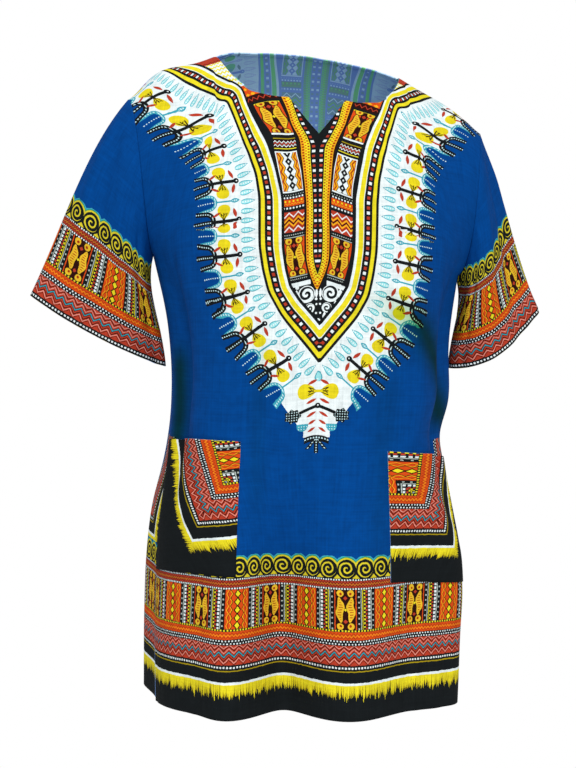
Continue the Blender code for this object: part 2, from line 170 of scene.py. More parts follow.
SMALL_BACK_FOLDS = table(
    Fold,
    (-0.200, 0.10, 0.012, 0.0028, 0.26, 0.36, 0.48, 0.62),
    (-0.125, 0.08, 0.011, 0.0020, 0.34, 0.44, 0.54, 0.68),
    (-0.065, 0.02, 0.012, -0.0018, 0.20, 0.30, 0.42, 0.56),
    (0.010, 0.01, 0.012, 0.0018, 0.30, 0.40, 0.54, 0.68),
    (0.080, -0.03, 0.012, -0.0020, 0.18, 0.30, 0.44, 0.58),
    (0.140, -0.09, 0.011, 0.0022, 0.34, 0.44, 0.54, 0.66),
    (0.205, -0.12, 0.012, 0.0028, 0.26, 0.36, 0.46, 0.60),
)

# %% [markdown]
# ## Curves that the shapes are built from
#
# Two small tools shape everything. `curve` runs a smooth line through the rows of a
# table, and `ease` fades an effect in or out. Both take whole arrays, so no loop ever
# visits single points.

# %% Curve tools
def curve(at, table, value="size", across="height"):
    """A smooth line through a table's rows, read at each number of an array.

    Between two rows it is the cubic that meets both values and both slopes, and a row's
    slope is the mean slope of its neighbours.
    """
    places = np.array([getattr(row, across) for row in table], float)
    values = np.array([getattr(row, value) for row in table], float)
    slopes = np.gradient(values, places)
    at = np.clip(np.asarray(at, float), places[0], places[-1])
    k = np.clip(np.searchsorted(places, at, side="right") - 1, 0, len(places) - 2)
    span = places[k + 1] - places[k]
    f = (at - places[k]) / span
    ends = values[k] * (1 + 2 * f) * (1 - f) ** 2 + values[k + 1] * f * f * (3 - 2 * f)
    return ends + slopes[k] * span * f * (1 - f) ** 2 + slopes[k + 1] * span * f * f * (f - 1)


def ease(at, low, high):
    """0 up to low, 1 from high, and between them three parts square less two parts cube."""
    f = np.clip((np.asarray(at, float) - low) / (high - low), 0, 1)
    return f * f * (3 - 2 * f)


def unit(vectors):
    """Each vector divided by its own length."""
    return vectors / np.linalg.norm(vectors, axis=-1, keepdims=True)


def by_side(u, right, left):
    """One value on the wearer's right side, where u is negative, and another on the left."""
    return np.where(u < 0, right, left)


def ring_size(height, name):
    """One column of the ring table at each height above the hem."""
    return curve(height, BODY_RINGS, name)


def ring_side(u, height, right="right", left="left"):
    """The ring table's value on the side where u lies: half widths, unless told otherwise."""
    return by_side(u, ring_size(height, right), ring_size(height, left))


def armhole_size(u, name):
    """A size of the armhole on the side where u lies."""
    return by_side(u, getattr(RIGHT_ARMHOLE, name), getattr(LEFT_ARMHOLE, name))


def quarter(share, square):
    """How far out and how deep a rounded quarter turn is, a share of the way round.

    Sine and cosine give a quarter ellipse, and a little of their third harmonic, which
    square sets, makes it fuller.
    """
    angle = share * pi / 2
    out = (np.sin(angle) + square * np.sin(3 * angle)) / (1 - square)
    deep = (np.cos(angle) - square * np.cos(3 * angle)) / (1 - square)
    return out, deep


# %% [markdown]
# ## The body: rings below the armpit, a yoke above it
#
# A real shirt front is one flat piece. Worn, its lower part runs round the body as part
# of a ring, and its upper part bends inwards to meet the back along the shoulder. So
# the surface is two formulas that join at the armpit. A point is named by `u`, from -1
# at the wearer's right seam to 1 at the left one, and by a level. Up to the armpit the
# level is the height above the hem, and above it the level is 1 more than the share of
# the way up to the shoulder line.

# %% Surfaces of the body
def lower_body(u, height, front):
    """Rings: x and y follow a quarter turn scaled by the ring table, z is the height.

    The back swells outwards just behind each side seam, by a squared sine.
    """
    out, deep = quarter(np.abs(u), RING_SQUARE)
    x = ring_side(u, height) * out
    if front:
        y = -ring_size(height, "front") * deep
    else:
        y = ring_size(height, "back") * deep
        swell = ring_side(u, height, "swell_right", "swell_left")
        x = x + swell * np.sin(pi * np.clip(1 - np.abs(u), 0, 1) ** 0.8) ** 2
    return np.stack([np.sign(u) * x, y, height - BODY_LENGTH + 0 * u], -1)


def yoke(u, up, front):
    """Above the armpit: the depth turns inwards like a quarter circle while up goes to 1.

    Straight across, the section passes from the ring's round shape to a flatter one
    that falls with the cube of u, and at the seam it bows by a sine to make room for
    the arm. The height passes from the centre line's to the armhole's by a cosine of u,
    and the shoulder bulges between the neck and its tip.
    """
    armpit = ARMPIT_HEIGHT - BODY_LENGTH
    rise, turn = quarter(up, YOKE_SQUARE_FRONT if front else YOKE_SQUARE_BACK)
    ring_out, ring_deep = quarter(np.abs(u), RING_SQUARE)
    flat = ease(up, 0.0, 0.6)
    reach = armhole_size(u, "forward" if front else "backward") * np.sin(pi * up)
    depth = ring_size(ARMPIT_HEIGHT, "front" if front else "back") * turn
    y = reach + (depth - reach) * ((1 - flat) * ring_deep + flat * (1 - np.abs(u) ** 3))
    low_out = ring_side(u, ARMPIT_HEIGHT)
    out = low_out + (armhole_size(u, "tip_out") - low_out) * up
    x = out * ((1 - flat) * ring_out + flat * np.abs(u))
    centre_line = COLLAR_LINE
    if not front:
        centre_line = centre_line + NAPE_RISE * np.clip(1 - (u / NECK_SHARE) ** 4, 0, 1) * up**6
    inward = np.cos(np.abs(u) * pi / 2)
    edge = (armhole_size(u, "tip_height") - armpit) * (1 - np.cos(pi * up)) / 2
    z = armpit + edge * (1 - inward) + (centre_line - armpit) * rise * inward
    outer_share = np.clip((np.abs(u) - NECK_SHARE) / (1 - NECK_SHARE), 0, 1)
    z = z + armhole_size(u, "bulge") * np.sin(pi * outer_share**1.5) ** 2 * ease(up, 0.5, 1)
    return np.stack([np.sign(u) * x, -y if front else y, z], -1)


def surface(u, level, front):
    """The lower rings where the level is under 1, and the yoke from there."""
    below = lower_body(u, np.minimum(level, ARMPIT_HEIGHT), front)
    above = yoke(u, np.clip(level - 1, 0, 1), front)
    return np.where((level < 1)[..., None], below, above)


def outward_normals(u, level, front):
    """Across a small step sideways and a small step up, which gives the way out."""
    step = 1e-4
    low = np.where(level < 1, level - step, np.maximum(level - step, 1))
    high = np.where(level < 1, level + step, np.minimum(level + step, 2))
    across = surface(u + step, level, front) - surface(u - step, level, front)
    upward = surface(u, high, front) - surface(u, low, front)
    return unit(np.cross(across, upward) * (1 if front else -1))


def half_width(height, front):
    """Cloth round half of a ring: the summed lengths of a hundred short steps along it."""
    ring = lower_body(np.linspace(0, 1, 101)[None, :], height, front)
    return np.linalg.norm(np.diff(ring, axis=1), axis=-1).sum(1, keepdims=True)


def fold_depth(folds, cloth_at, height):
    """Each fold is a bell across the cloth, eased in and out along its length."""
    depth = 0 * (cloth_at + height)
    for fold in folds:
        offset = (cloth_at - fold.at - fold.lean * height) / fold.wide
        starting = ease(height, fold.starts, fold.full_from)
        ending = 1 - ease(height, fold.full_to, fold.ends)
        depth += fold.out * np.exp(-offset * offset) * starting * ending
    return depth


# %% [markdown]
# ## The lines of the fine grid
#
# The solids use a coarse grid, which is enough for weight and touch. The visible cloth
# uses lines about 2.5 mm apart. Some lines must fall exactly on a corner of the cut: the
# notch's ends, the neck point and the pocket's edges. So the share between two such
# corners is divided evenly, with its own count of lines.

# %% Grid lines
CORNERS = [0, NOTCH_LOW, POCKET_INNER, NECK_LOW, POCKET_OUTER, 1.0]
LINES_BETWEEN = [14, 15, 29, 38, 4]
half_low = np.concatenate(
    [[0]] + [np.linspace(a, b, n + 1)[1:] for a, b, n in zip(CORNERS, CORNERS[1:], LINES_BETWEEN)]
)
middle = len(half_low) - 1  # the number of the centre line in a whole row
pocket_inner, pocket_outer = sum(LINES_BETWEEN[:2]), sum(LINES_BETWEEN[:4])  # from the middle


def top_edge(low, name, front):
    """Where a column ends: the notch up to its corner, then the neckline, then the shoulder."""
    neck = FRONT_NECK if front else BACK_NECK
    on_notch, on_neck, on_shoulder = (
        curve(low, columns, name, "low") for columns in (V_NOTCH, neck, SHOULDER)
    )
    edge = np.where(low <= NECK_LOW, on_neck, on_shoulder)
    return np.where(low < NOTCH_LOW, on_notch, edge) if front else edge


HEM_ROWS, POCKET_ROWS, SIDE_ROWS, YOKE_ROWS = 44, 42, 58, 80
row_heights = np.concatenate(
    [
        np.linspace(0, POCKET_BOTTOM, HEM_ROWS + 1),
        np.linspace(POCKET_BOTTOM, POCKET_TOP, POCKET_ROWS + 1)[1:],
        np.linspace(POCKET_TOP, ARMPIT_HEIGHT, SIDE_ROWS + 1)[1:],
    ]
)[:, None]
print("grid:", len(row_heights) + YOKE_ROWS, "rows by", 2 * middle + 1, "columns")


# %% [markdown]
# ## A panel of cloth
#
# `panel_points` runs the same steps as the solids: take the surface, push it along its
# normals by the folds, let it sag at the seams, part the vents, and let the shirt lean.
# It also returns each point's place on the flat cloth: how far it lies from the centre
# line along its row, and how far above the hem along its column. A print follows those
# two numbers, whatever the folds do.
#
# Cloth is never as even as formulas, so each panel also gets `rumple`: about two hundred
# faint ridges and troughs of uneven length, most of them near the vertical.

# %% Panels
PANEL_RUMPLES, SLEEVE_RUMPLES = 220, 60


def rumple(s, t, seed, count, height, lean=0.25):
    """Faint ridges: each is a bell across its own line and a longer bell along it."""
    rng = np.random.default_rng(seed)
    depth = 0 * (s + t)
    for _ in range(count):
        at_s, at_t = rng.uniform(s.min(), s.max()), rng.uniform(t.min(), t.max())
        turn = rng.normal(0, lean)
        across = (s - at_s) * cos(turn) - (t - at_t) * sin(turn)
        along = (s - at_s) * sin(turn) + (t - at_t) * cos(turn)
        wide, long = rng.uniform(0.005, 0.014), rng.uniform(0.03, 0.09)
        depth += rng.normal(0, height) * np.exp(-((across / wide) ** 2) - (along / long) ** 2)
    return depth


def lengths(points, axis):
    """Distance along the rows or columns of a grid, from its first line."""
    steps = np.linalg.norm(np.diff(points, axis=axis), axis=-1)
    return np.insert(np.cumsum(steps, axis=axis), 0, 0, axis=axis)


def panel_points(front):
    """Points of one panel and their flat places, as arrays of rows by columns."""
    low = np.concatenate([-half_low[:0:-1], half_low])
    top = np.sign(low) * top_edge(np.abs(low), "top", front)
    drop = top_edge(np.abs(low), "drop", front)
    armpit_width = half_width(np.array([[ARMPIT_HEIGHT]]), front)
    slack = armpit_width / half_width(row_heights, front) - 1
    u_low = low * (1 + slack * (1 - np.abs(low) ** 3))
    if front:
        u_low = u_low - curve(row_heights, DRIFTS) * (1 - low**2)
    ups = np.linspace(0, 1, 401)[:, None]
    line = yoke(top + 0 * ups, ups, front)[..., 2]
    ends = np.array([np.interp(z[-1] - d, z, ups[:, 0]) for z, d in zip(line.T, drop)])
    share = np.linspace(0, 1, YOKE_ROWS + 1)[1:, None]
    u = np.concatenate([u_low, low + (top - low) * share**3])
    level = np.concatenate([row_heights + 0 * low, 1 + (1 - (1 - share) ** 1.15) * ends])
    grid = surface(u, level, front)
    height = lengths(grid, 0)
    cloth_at = low * armpit_width
    folds = FRONT_FOLDS + SMALL_FRONT_FOLDS if front else BACK_FOLDS + SMALL_BACK_FOLDS
    fold = fold_depth(folds, cloth_at, height)
    fold = fold + rumple(cloth_at, height, 5 if front else 6, PANEL_RUMPLES, 0.00045)
    fold = fold * (1 - np.abs(low) ** 8)  # none at the seams
    grid = grid + outward_normals(u, level, front) * (fold + WALL)[..., None]
    sag = SIDE_SAG * low**2 * (1 - ease(height, POCKET_TOP, ARMPIT_HEIGHT - 0.03))
    grid[..., 2] -= sag * (0.5 + 0.5 * ease(height, 0, POCKET_BOTTOM))
    spread = VENT_SPREAD * (1 - ease(height, 0, VENT_HEIGHT)) * np.abs(low) ** 10
    grid[..., 1] += -spread if front else spread
    above_hem = grid[..., 2] + BODY_LENGTH
    grid[..., 2] -= curve(above_hem, LEANS) * grid[..., 0]
    across = lengths(grid, 1)
    return grid, across - across[:, middle : middle + 1], lengths(grid, 0)


front_points, front_s, front_t = panel_points(True)
back_points, back_s, back_t = panel_points(False)
print("front: half width %.3f m, centre length %.3f m" % (front_s.max(), front_t[-1, middle]))

# %% [markdown]
# ## Sleeves and pockets
#
# A sleeve is a tube: each point of the armhole's edge goes along its own smooth path to
# the cuff, like threads running down the cloth. A pocket is a piece of the front
# panel's own grid, moved out a little, so it lies true on the folds behind it. Its top
# edge gapes slightly, as a sewn pocket's does.

# %% Sleeve surfaces
Sleeve = namedtuple("Sleeve", "outer inner half_depth sag off_tip off_armpit at_outer at_inner")
RIGHT_SLEEVE = Sleeve(
    outer=(-0.328, 0.000, -0.281),
    inner=(-0.168, 0.026, -0.367),
    half_depth=0.030,
    sag=0.007,
    off_tip=(-0.66, 0.00, -0.75),
    off_armpit=(-0.30, 0.02, -0.95),
    at_outer=(-0.44, 0.02, -0.90),
    at_inner=(0.06, 0.02, -0.99),
)
LEFT_SLEEVE = Sleeve(
    outer=(0.292, 0.045, -0.297),
    inner=(0.1760, 0.022, -0.371),
    half_depth=0.046,
    sag=0.018,
    off_tip=(0.34, 0.05, -0.94),
    off_armpit=(0.30, 0.02, -0.95),
    at_outer=(0.46, 0.10, -0.88),
    at_inner=(-0.06, 0.02, -0.99),
)
SLEEVE_STEPS = 76
LEAVING, ARRIVING = 0.30, 0.35  # how far each path runs on along its two directions
# A sleeve's folds: where each crosses the armhole and the cuff, as turns round the tube
# from its top line, its half width in turns, and how far it stands out.
SleeveFold = namedtuple("SleeveFold", "at_armhole at_cuff wide out")
RIGHT_SLEEVE_FOLDS = table(
    SleeveFold,
    (0.06, 0.16, 0.030, 0.0030),
    (0.12, 0.24, 0.026, -0.0028),
    (0.20, 0.33, 0.030, 0.0026),
    (0.33, 0.42, 0.024, -0.0030),
    (-0.10, -0.18, 0.030, 0.0032),
    (-0.20, -0.30, 0.028, -0.0030),
    (-0.33, -0.40, 0.026, 0.0026),
)
LEFT_SLEEVE_FOLDS = table(
    SleeveFold,
    (0.05, 0.08, 0.022, 0.0040),
    (0.11, 0.17, 0.026, -0.0034),
    (0.22, 0.28, 0.030, 0.0026),
    (0.36, 0.40, 0.024, -0.0028),
    (-0.09, -0.14, 0.030, 0.0034),
    (-0.21, -0.28, 0.028, -0.0032),
    (-0.34, -0.40, 0.026, 0.0024),
)


def sleeve_points(edge, sleeve, folds, seed):
    """Each row is a ring, and each column a cubic path from the armhole to the cuff.

    The path leaves along one direction and arrives along another, both blended between
    the top of the tube and its underside. Also returns the flat places: the distance
    round the ring from its top line, and the distance up from the cuff.
    """
    front, back = front_points[-YOKE_ROWS - 1 :, edge][::-1], back_points[-YOKE_ROWS - 1 :, edge]
    start = np.concatenate([front, back[1:-1], front[:1]])
    turn = 2 * pi * np.linspace(0, 1, len(start))
    outer, inner, down = np.array(sleeve.outer), np.array(sleeve.inner), np.array([0, 0, -1])
    top_share = (1 + np.cos(turn))[:, None] / 2
    end = inner + (outer - inner) * top_share + down * sleeve.sag * (np.sin(turn) ** 2)[:, None]
    end = end + np.array([0, -sleeve.half_depth, 0]) * np.sin(turn)[:, None]
    leave = top_share * np.array(sleeve.off_tip) + (1 - top_share) * np.array(sleeve.off_armpit)
    arrive = top_share * np.array(sleeve.at_outer) + (1 - top_share) * np.array(sleeve.at_inner)
    reach = np.linalg.norm(end - start, axis=1, keepdims=True)
    first, second = start + unit(leave) * reach * LEAVING, end - unit(arrive) * reach * ARRIVING
    k = np.linspace(0, 1, SLEEVE_STEPS + 1)[:, None, None]
    path = start * (1 - k) ** 3 + 3 * first * k * (1 - k) ** 2
    path = path + 3 * second * k * k * (1 - k) + end * k**3
    k, turns = k[..., 0], (turn / (2 * pi))[None, :]
    wrapped = turns - (turns > 0.5)
    depth = 0 * (k + turns)
    for fold in folds:
        centre = fold.at_armhole + (fold.at_cuff - fold.at_armhole) * k
        depth += fold.out * np.exp(-(((wrapped - centre) / fold.wide) ** 2)) * ease(k, 0, 0.3)
    around = lengths(path, 1)
    s = around - around[:, -1:] * (turns > 0.5)
    t = lengths(path, 0)[-1:] - lengths(path, 0)
    fading = ease(k, 0, 0.15) * np.sin(pi * turns) ** 0.5  # none at the armhole
    depth += rumple(around, t, seed, SLEEVE_RUMPLES, 0.0005, 0.4) * fading
    across, along = np.gradient(path, axis=1), np.gradient(path, axis=0)
    across[:, 0] = across[:, -1] = path[:, 1] - path[:, -2]
    normal = unit(np.cross(across, along))
    normal *= np.sign((normal * (path - path.mean(1, keepdims=True))).sum(-1).mean())
    return path + normal * depth[..., None], s, t


right_points, right_s, right_t = sleeve_points(0, RIGHT_SLEEVE, RIGHT_SLEEVE_FOLDS, 7)
left_points, left_s, left_t = sleeve_points(-1, LEFT_SLEEVE, LEFT_SLEEVE_FOLDS, 8)
print("cuffs: %.3f m and %.3f m round" % (np.ptp(right_s[-1]), np.ptp(left_s[-1])))

# %% Pocket surfaces
POCKET_LIFT, POCKET_GAPE, POCKET_RIPPLE = 0.0011, 0.0035, 0.0008
CORNER_STRIP = 0.044  # the border's fringe and black edge, outside the print's corner
Corner = namedtuple("Corner", "s t slant tip squeeze")  # where it lies, and how it is turned
RIGHT_CORNER = Corner(0.155, 0.202, 0.44, 0.13, 0.93)
LEFT_CORNER = Corner(0.196, 0.191, 0.41, 0.05, 0.82)
UPPER_SQUEEZE, LEFT_SQUEEZE, LEFT_PUSH = 0.20, 0.16, 0.0115  # the print narrows upwards


def pocket_points(side):
    """The front grid between the pocket's lines, moved out; the top gapes by a sine.

    Its print is a set of nested corners, so the flat places are the heights above the
    print's two outer edges: a level one below and a slanted one at the side.
    """
    corner, lines = LEFT_CORNER, slice(middle + pocket_inner, middle + pocket_outer + 1)
    if side < 0:
        corner, lines = RIGHT_CORNER, slice(middle - pocket_outer, middle - pocket_inner + 1)
    rows = slice(HEM_ROWS, HEM_ROWS + POCKET_ROWS + 1)
    normal = unit(np.cross(np.gradient(front_points, axis=1), np.gradient(front_points, axis=0)))
    grid, facing = front_points[rows, lines], normal[rows, lines]
    across = np.linspace(0, 1, grid.shape[1])[None, :]
    up = np.linspace(0, 1, grid.shape[0])[:, None]
    lift = POCKET_LIFT + POCKET_GAPE * np.sin(pi * across) * up**3
    inside = np.sin(pi * across) * np.sin(pi * up)  # 0 all round the pocket's edge
    lift = lift + POCKET_RIPPLE * inside * np.sin(9 * across + 4 * up)
    s, t = np.abs(front_s[rows, lines]), front_t[rows, lines]
    inwards = (corner.s - s + corner.slant * (t - corner.t)) / np.hypot(1, corner.slant)
    push = ease(up, 0.5, 1) * (side > 0)
    squeeze = corner.squeeze - UPPER_SQUEEZE * up - LEFT_SQUEEZE * push
    inwards = np.where(inwards > 0, inwards * squeeze + LEFT_PUSH * push, inwards)
    above = CORNER_STRIP + t - corner.t + corner.tip * (s - corner.s)
    return grid + facing * lift[..., None], CORNER_STRIP + inwards, above


right_pocket, right_beside, right_above = pocket_points(-1)
left_pocket, left_beside, left_above = pocket_points(+1)

# %% [markdown]
# ## The ornament's own measures
#
# The ornament round the neck is a pointed shield with bands that run along its edge and
# motifs that stand round it. Those are easiest to draw if every point of the cloth
# knows how far it is from the shield's edge, and where along the edge it stands. Both
# come from the nearest point of a polyline, found for all vertices at once.

# %% Distances to the shield
SHIELD = np.array(
    [
        (0.0000, 0.4040), (0.0256, 0.4367), (0.0450, 0.4610), (0.0582, 0.4830),
        (0.0640, 0.5070), (0.0680, 0.5330), (0.0700, 0.5643), (0.0724, 0.5890),
        (0.0785, 0.6155), (0.0895, 0.6415), (0.1045, 0.6663), (0.1230, 0.6915),
        (0.1365, 0.7095), (0.1480, 0.7115), (0.1920, 0.7330), (0.2360, 0.7660),
        (0.3000, 0.8080), (0.3600, 0.8480),
    ]
)
SHIELD_TILT, SHIELD_ASIDE = 0.04, 0.0036  # the cloth lies a little askew on the chest
SIDE_SLOPE = 0.16  # how steeply the motifs beside the shield fall outwards


def smooth_line(points, count):
    """A polyline with its corners eased: equal steps along it, then a short running mean."""
    along = np.insert(np.cumsum(np.linalg.norm(np.diff(points, axis=0), axis=1)), 0, 0)
    at = np.linspace(0, along[-1], count)
    line = np.stack([np.interp(at, along, points[:, 0]), np.interp(at, along, points[:, 1])], 1)
    padded = np.pad(line, ((1, 1), (0, 0)), mode="reflect", reflect_type="odd")
    eased = np.stack([np.convolve(padded[:, k], np.ones(3) / 3, "valid") for k in (0, 1)], 1)
    eased[:, 0] = np.maximum(eased[:, 0], 0)
    return eased


def offset_line(line, away):
    """The line moved sideways by a distance; outwards, a quarter round goes about its tip."""
    ahead = unit(np.gradient(line, axis=0))
    moved = line + np.stack([ahead[:, 1], -ahead[:, 0]], 1) * away
    if away < 0:
        return moved[moved[:, 0] > 0]
    first = np.arctan2(moved[0, 1] - line[0, 1], moved[0, 0])
    angles = np.linspace(-pi / 2, first, 16)[:-1]
    arc = line[0] + away * np.stack([np.cos(angles), np.sin(angles)], 1)
    return np.concatenate([arc, moved])


def nearest_on(line, points):
    """For each point: the distance to the nearest segment, the place along, and the side."""
    a, b = line[:-1], line[1:]
    along = np.insert(np.cumsum(np.linalg.norm(b - a, axis=1)), 0, 0)
    best = np.full(len(points), 1e9)
    place, side = np.zeros(len(points)), np.zeros(len(points))
    for k in range(len(a)):
        way = b[k] - a[k]
        share = np.clip(((points - a[k]) @ way) / (way @ way), 0, 1)
        gap = points - a[k] - share[:, None] * way
        distance = np.hypot(gap[:, 0], gap[:, 1])
        closer = distance < best
        best[closer] = distance[closer]
        place[closer] = (along[k] + share * (along[k + 1] - along[k]))[closer]
        side[closer] = (way[0] * gap[:, 1] - way[1] * gap[:, 0])[closer]
    return best, place, side


Bay = namedtuple("Bay", "height middle half")
STRIPS = table(  # the outer edge of the strips beside the centre line
    Step,
    (486, 0.3), (496, 4.7), (507, 9), (519, 12.2), (540, 13.6), (586, 14.8), (612, 18.8),
    (638, 24.3), (651, 28.2), (660, 32.5), (680, 48), (703, 60), (800, 110),
)
SQUARES = table(  # the row of squares, which the opening pulls apart above 640 mm
    Step,
    (480, 2.9), (573, 2.9), (595, 3.5), (617, 4.6), (637, 6), (651, 7.6), (660, 14),
    (680, 29.5), (694, 38), (800, 98),
)
BAYS = table(  # the panels between the strips and the shield's band
    Bay,
    (480, 15.5, 9.5), (505, 21.5, 10.5), (530, 26.2, 11.7), (553, 28, 12), (582, 29.7, 12.7),
    (602, 32, 13), (622, 37.5, 14.3), (644, 45.5, 14.2), (665, 55.5, 14.5), (682, 67.5, 15.5),
    (708, 83.5, 16), (800, 135, 18),
)
CENTRE_OFF, SQUARES_IN, STRIP_EDGE, BAY_HALF = 3.5, 2.9, 13.6, 12.5
ROWS_SLANT, ROWS_RISE = 0.08, 0.20  # the rows climb to one side, and towards the middle
MEASURES = ("high", "ring", "motif", "drop", "bead", "strip", "bay", "row")
WAIST = 0.56  # up to this height the shield's sides are straight
BACK_TOP = 590  # on the back the strips run on straight from this height


def shield_measures(s, t, opened):
    """Where each point lies on the ornament, in millimetres: the MEASURES in their order.

    high: the print's height; ring: from the shield's edge, inside negative; motif, drop
    and bead: along the edge, as read outside it, just outside it and inside it; strip:
    from the centre line, with the strips at constant places; bay: from the middle of the
    panels beside them; row: the height on the ladder of panels. Where the neck is opened
    in front, the strips and panels spread with it; on the back they run straight.
    """
    # The shield stands a little askew, and less so near the neck.
    aside = SHIELD_ASIDE * ease(t, 0.42, 0.54) - 0.0012 + 0.0024 * ease(t, 0.58, 0.68)
    tilt = SHIELD_TILT - 0.03 * ease(t, 0.60, 0.67)
    x, y = np.abs(s + (aside if opened else 0)).ravel(), (t + tilt * s).ravel()
    outline = SHIELD.copy()
    if not opened:  # its shoulders lie higher on the back
        outline[:, 1] += 0.05 * ease(outline[:, 1], 0.56, 0.62)
    edge = smooth_line(outline, 160)
    places = np.stack([x, y], 1)
    distance, _, side = nearest_on(edge, places)
    # Its band narrows beside the neck.
    narrow = 1 + 0.14 * (ease(t, 0.585, 0.63) * (1 - ease(t, 0.70, 0.73))).ravel()
    ring = np.where(side > 0, -distance * narrow, distance) * 1000
    bead = nearest_on(offset_line(edge, -0.011), places)[1] * 1000
    drop = nearest_on(offset_line(edge, 0.011), places)[1] * 1000
    # Above the waist the motifs keep the places that they'd have on straight sides.
    waist_x = np.interp(WAIST, edge[:, 1], edge[:, 0])
    straight_x = waist_x + SIDE_SLOPE * (np.maximum(y, WAIST) - WAIST)
    moved_x = np.where(y > WAIST, x - np.interp(y, edge[:, 1], edge[:, 0]) + straight_x, x)
    beyond = [(waist_x, WAIST), (waist_x + SIDE_SLOPE * 0.4, WAIST + 0.4)]
    straight = np.concatenate([edge[edge[:, 1] < WAIST], beyond])
    motif = nearest_on(offset_line(straight, 0.036), np.stack([moved_x, y], 1))[1] * 1000
    x = np.abs(1000 * s + (CENTRE_OFF * (1 - ease(t, 0.64, 0.665)) if opened else 0)).ravel()
    height = 1000 * t.ravel() if opened else np.minimum(1000 * t.ravel(), BACK_TOP)
    edge_at, squares_at = curve(height, STRIPS), curve(height, SQUARES)
    spread = (STRIP_EDGE - SQUARES_IN) / np.maximum(edge_at - squares_at, 1)
    strip = SQUARES_IN + (x - squares_at) * spread
    strip = np.where(height < 1000 * WAIST, x + STRIP_EDGE - edge_at, strip)
    bay = (x - curve(height, BAYS, "middle")) * BAY_HALF / curve(height, BAYS, "half")
    row = (1000 * (t + ROWS_SLANT * s)).ravel() + (ROWS_RISE * x if opened else 0)
    return dict(zip(MEASURES, (1000 * t, ring, motif, drop, bead, strip, bay, row)))


BORDER_LEVEL, UPRIGHT_TO, FREE_FROM = 0.130, 0.187, 0.30
NAPE_ASIDE = 0.020  # the print of the back isn't quite in the middle of the cloth


def upright(s, t):
    """The border's panels stand upright: near the hem each column keeps one place, s."""
    row = np.argmin(np.abs(t[:, middle + 1] - BORDER_LEVEL))
    keep = 1 - ease(t, UPRIGHT_TO, FREE_FROM)
    return s * (1 - keep) + s[row] * keep


front_print_s = upright(front_s, front_t)
back_print_s = upright(back_s, back_t) - NAPE_ASIDE * ease(back_t, 0.35, 0.55)

# The back is cut from the same print, higher up the cloth: its neck edge is level with the
# middle of the shield, and its neck isn't opened.
NAPE_ON_PRINT = 0.639
back_shift = NAPE_ON_PRINT - back_t[-1, middle]
front_measures = shield_measures(front_print_s, front_t, opened=True)
back_measures = shield_measures(back_print_s, back_t + back_shift, opened=False)
print("the back's shield is moved %.1f mm" % (back_shift * 1000))

# %% [markdown]
# ## From grids to cloth
#
# Each grid becomes a mesh of four-sided faces. Its flat places go into a UV map named
# `cloth`, and the shield's measures into attributes, so a material can read both. The
# Solidify modifier then gives the cloth a thickness of 0.6 mm, and 1.5 mm where the edge
# is turned under and sewn: the neck, the hem, the cuffs and the tops of the pockets. Its
# inner side takes a second material, because the reverse of a print is paler; that
# material is also lighter still, as painted light, because little light reaches inside.

# %% Build the cloth pieces
CLOTH, TURNED = 0.0006, 0.0015  # single and turned-under thickness


def cloth_piece(name, points, s, t, turned, flip=False, **measures):
    """A named mesh of the grid's cells, with UV map, attributes and thickness."""
    if flip:
        points, s, t, turned = points[:, ::-1], s[:, ::-1], t[:, ::-1], turned[:, ::-1]
        measures = {key: values.reshape(s.shape)[:, ::-1] for key, values in measures.items()}
    corner = np.arange(s.size).reshape(s.shape)
    corners = corner[:-1, :-1], corner[:-1, 1:], corner[1:, 1:], corner[1:, :-1]
    faces = np.stack(corners, -1).reshape(-1, 4)
    mesh = bpy.data.meshes.new(name)
    mesh.from_pydata(points.reshape(-1, 3).tolist(), [], faces.tolist())
    flat = np.stack([s.ravel(), t.ravel()], 1)[faces.ravel()]
    mesh.uv_layers.new(name="cloth").data.foreach_set("uv", flat.astype(np.float32).ravel())
    for key, values in measures.items():
        layer = mesh.attributes.new(key, "FLOAT", "POINT")
        layer.data.foreach_set("value", values.astype(np.float32).ravel())
    mesh.shade_smooth()
    piece = bpy.data.objects.new(name, mesh)
    bpy.context.scene.collection.objects.link(piece)
    group = piece.vertex_groups.new(name="turned_under")
    for level in (0.0, 1.0):
        group.add(np.nonzero(turned.ravel() == level)[0].tolist(), level, "REPLACE")
    wall = piece.modifiers.new("cloth_thickness", "SOLIDIFY")
    wall.thickness, wall.offset = TURNED, -1
    wall.vertex_group, wall.thickness_vertex_group = group.name, CLOTH / TURNED
    wall.material_offset, wall.material_offset_rim = 1, 1
    low, high = points.min((0, 1)).round(3), points.max((0, 1)).round(3)
    print(name, "%d faces" % len(faces), "box", low, high)
    return piece


def turned_edges(t, below, neck_rows):
    """1 where the edge is turned under, at the hem and the neck, and 0 where it is single."""
    turned = (t < below).astype(float)
    if neck_rows:
        turned[-neck_rows:, np.abs(np.linspace(-1, 1, t.shape[1])) < NECK_LOW] = 1
    return turned


HEM_TURN, CUFF_TURN = 0.022, 0.020
NECK_TURN_ROWS, POCKET_TURN_ROWS = 5, 6
SHADES = table(  # where a deep fold keeps the light out, as folds that stand out by 1
    Fold,
    (-0.2105, 0, 0.016, 1, 0.29, 0.32, 0.40, 0.445),
    (0.570, -1, 0.032, 1, 0.31, 0.35, 0.44, 0.50),
    (-0.066, 0, 0.011, 0.22, 0.20, 0.28, 0.40, 0.47),
    (0.082, 0, 0.018, 0.20, 0.16, 0.22, 0.36, 0.44),
)
# Painted shade: the front's attribute below darkens its colour at the bottom of the deep folds in
# SHADES; the back has none.
front = cloth_piece(
    "front", front_points, front_print_s, front_t,
    turned_edges(front_t, HEM_TURN, NECK_TURN_ROWS),
    **front_measures, dusk=fold_depth(SHADES, front_s, front_t),
)
back = cloth_piece(
    "back", back_points, back_print_s, back_t,
    turned_edges(back_t, HEM_TURN, NECK_TURN_ROWS), flip=True,
    **back_measures, dusk=0 * back_s,
)
right_cuff, left_cuff = turned_edges(right_t, CUFF_TURN, 0), turned_edges(left_t, CUFF_TURN, 0)
